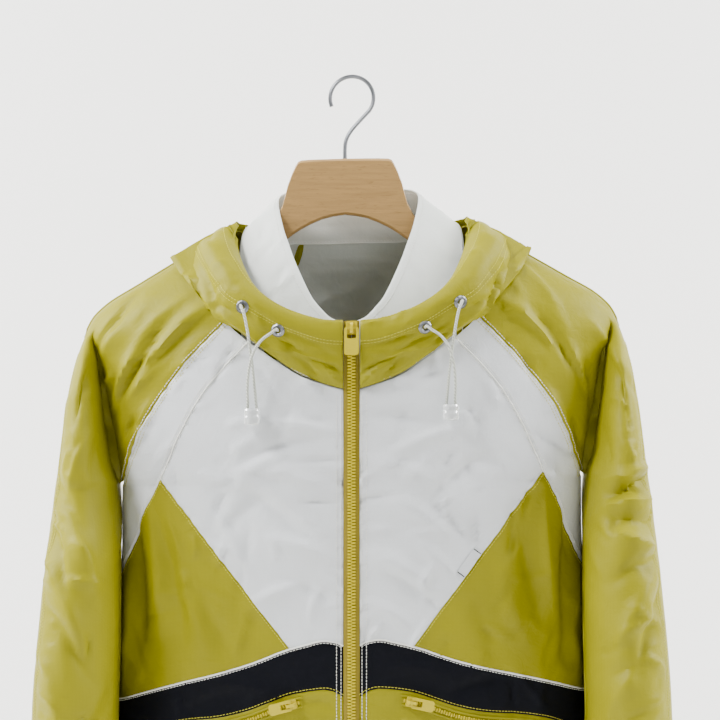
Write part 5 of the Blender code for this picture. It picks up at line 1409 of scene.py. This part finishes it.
def build_stage():
    low, bend, r = cad_box[0][2] - STAGE["drop"], STAGE["bend_y"], STAGE["radius"]
    line = [(STAGE["near_y"], low), (bend, low)]
    line += [(bend + r * math.sin(a), low + r - r * math.cos(a)) for a in np.linspace(0.15, math.pi / 2, 10)]
    line += [(bend + r, STAGE["top"])]
    points = [(x, y, z) for x in (-STAGE["half"], STAGE["half"]) for y, z in line]
    count = len(line)
    faces = [[k, k + 1, count + k + 1, count + k] for k in range(count - 1)]
    mesh = bpy.data.meshes.new("studio_cove")
    mesh.from_pydata(points, [], faces)
    mesh.materials.append(finish("studio"))
    mesh.shade_smooth()
    cove = bpy.data.objects.new("studio_cove", mesh)
    bpy.context.scene.collection.objects.link(cove)
    for name, at, size, power, target in LIGHTS:
        light = bpy.data.lights.new(name, "AREA")
        light.shape, light.size, light.energy = "SQUARE", size, power
        ob = bpy.data.objects.new(name, light)
        ob.location = at
        bpy.context.scene.collection.objects.link(ob)
        aim(ob, target)
    world = bpy.data.worlds.new("studio_air")
    world.use_nodes = True
    world.node_tree.nodes["Background"].inputs["Color"].default_value = (1.0, 1.0, 1.0, 1)
    world.node_tree.nodes["Background"].inputs["Strength"].default_value = AIR
    bpy.context.scene.world = world


def set_camera():
    cam = bpy.data.cameras.new("camera")
    distance = (CAMERA["plane"] - CAMERA["y"]) * MM
    cam.sensor_width = CAMERA["sensor"]
    cam.lens = CAMERA["sensor"] * distance / (CAMERA["width"] * MM)
    cam.clip_end = 20.0
    ob = bpy.data.objects.new("camera", cam)
    ob.location = (CAMERA["x"] * MM, CAMERA["y"] * MM, CAMERA["z"] * MM)
    ob.rotation_euler = (math.pi / 2, 0, 0)
    bpy.context.scene.collection.objects.link(ob)
    bpy.context.scene.camera = ob


# ---------------------------------------------------------------- sidebar
class JacketColours(bpy.types.PropertyGroup):
    """Colours of the jacket's cloths and fittings."""


for key, (code, title, words) in COLOURS.items():
    JacketColours.__annotations__[key] = FloatVectorProperty(
        name=title, description=words, subtype="COLOR", size=3, min=0.0, max=1.0, default=linear(code))


class JacketSizes(bpy.types.PropertyGroup):
    """Sizes that change how the cloth is drawn."""
    fold_height: FloatProperty(name="Fold height", description="How strongly the folds stand out",
                               default=1.0, min=0.0, max=1.5, subtype="FACTOR")


def check_made(before, what):
    if len(bpy.data.objects) == before:
        raise RuntimeError(f"{what} made nothing")
    return {"FINISHED"}


class JACKET_OT_stage(bpy.types.Operator):
    """Set the camera, the lights, the floor and the wall"""
    bl_idname, bl_label = "jacket.stage", "Stage"

    def execute(self, context):
        before = len(bpy.data.objects)
        set_camera()
        build_stage()
        return check_made(before, self.bl_label)


class JACKET_OT_cords(bpy.types.Operator):
    """Lay the drawcords through their eyelets and stoppers"""
    bl_idname, bl_label = "jacket.cords", "Drawcords"

    def execute(self, context):
        before = len(bpy.data.objects)
        lay_cords()
        return check_made(before, self.bl_label)


class JACKET_OT_fronts(bpy.types.Operator):
    """Sew the pieces of both fronts"""
    bl_idname, bl_label = "jacket.fronts", "Fronts"

    def execute(self, context):
        before = len(bpy.data.objects)
        sew_fronts()
        return check_made(before, self.bl_label)


class JACKET_OT_back(bpy.types.Operator):
    """Sew the back, its hem and its lining"""
    bl_idname, bl_label = "jacket.back", "Back"

    def execute(self, context):
        before = len(bpy.data.objects)
        sew_back()
        return check_made(before, self.bl_label)


class JACKET_OT_sleeves(bpy.types.Operator):
    """Sew the raglan sleeves and their cuffs"""
    bl_idname, bl_label = "jacket.sleeves", "Sleeves"

    def execute(self, context):
        before = len(bpy.data.objects)
        sew_sleeves()
        sew_cuffs()
        return check_made(before, self.bl_label)


class JACKET_OT_hood(bpy.types.Operator):
    """Sew the hood, folded down round the neck"""
    bl_idname, bl_label = "jacket.hood", "Hood"

    def execute(self, context):
        before = len(bpy.data.objects)
        sew_hood()
        return check_made(before, self.bl_label)


class JACKET_OT_collar(bpy.types.Operator):
    """Sew the stand collar inside the hood"""
    bl_idname, bl_label = "jacket.collar", "Collar"

    def execute(self, context):
        before = len(bpy.data.objects)
        sew_collar()
        return check_made(before, self.bl_label)


class JACKET_OT_seams(bpy.types.Operator):
    """Run the topstitching along the seams, and lay thin pale strands of painted highlight along two of them
    """
    bl_idname, bl_label = "jacket.seams", "Seams"

    def execute(self, context):
        before = len(bpy.data.objects)
        topstitch()
        # pale strands of painted highlight on the band's upper seam and the inner seam
        sew_painted_highlights()
        return check_made(before, self.bl_label)


class JACKET_OT_zips(bpy.types.Operator):
    """Fit the front zip and the pocket zips"""
    bl_idname, bl_label = "jacket.zips", "Zips"

    def execute(self, context):
        before = len(bpy.data.objects)
        fit_front_zip()
        fit_pockets()
        return check_made(before, self.bl_label)


class JACKET_OT_label(bpy.types.Operator):
    """Sew on the blank woven label"""
    bl_idname, bl_label = "jacket.label", "Label"

    def execute(self, context):
        before = len(bpy.data.objects)
        sew_label()
        return check_made(before, self.bl_label)


class JACKET_OT_hanger(bpy.types.Operator):
    """Finish the wooden hanger and its hook"""
    bl_idname, bl_label = "jacket.hanger", "Hanger"

    def execute(self, context):
        finish_hanger()
        return {"FINISHED"}


OPERATORS = (JACKET_OT_stage, JACKET_OT_cords, JACKET_OT_fronts, JACKET_OT_back, JACKET_OT_sleeves,
             JACKET_OT_hood, JACKET_OT_collar, JACKET_OT_seams, JACKET_OT_zips, JACKET_OT_label,
             JACKET_OT_hanger)


class JACKET_PT_sidebar(bpy.types.Panel):
    """The jacket's steps, sizes and colours"""
    bl_idname, bl_label = "JACKET_PT_sidebar", "Windbreaker"
    bl_space_type, bl_region_type, bl_category = "VIEW_3D", "UI", "Jacket"

    def draw(self, context):
        for kind in OPERATORS:
            self.layout.operator(kind.bl_idname)
        self.layout.prop(context.scene.jacket_sizes, "fold_height")
        for colour in COLOURS:
            self.layout.prop(context.scene.jacket_colours, colour)


CLASSES = (JacketColours, JacketSizes, *OPERATORS, JACKET_PT_sidebar)


def register():
    for kind in CLASSES:
        bpy.utils.register_class(kind)
    bpy.types.Scene.jacket_colours = PointerProperty(type=JacketColours)
    bpy.types.Scene.jacket_sizes = PointerProperty(type=JacketSizes)


def unregister():
    del bpy.types.Scene.jacket_colours
    del bpy.types.Scene.jacket_sizes
    for kind in reversed(CLASSES):
        bpy.utils.unregister_class(kind)


def main():
    register()
    for kind in OPERATORS:
        group, name = kind.bl_idname.split(".")
        getattr(getattr(bpy.ops, group), name)()


if __name__ == "__main__":
    main()
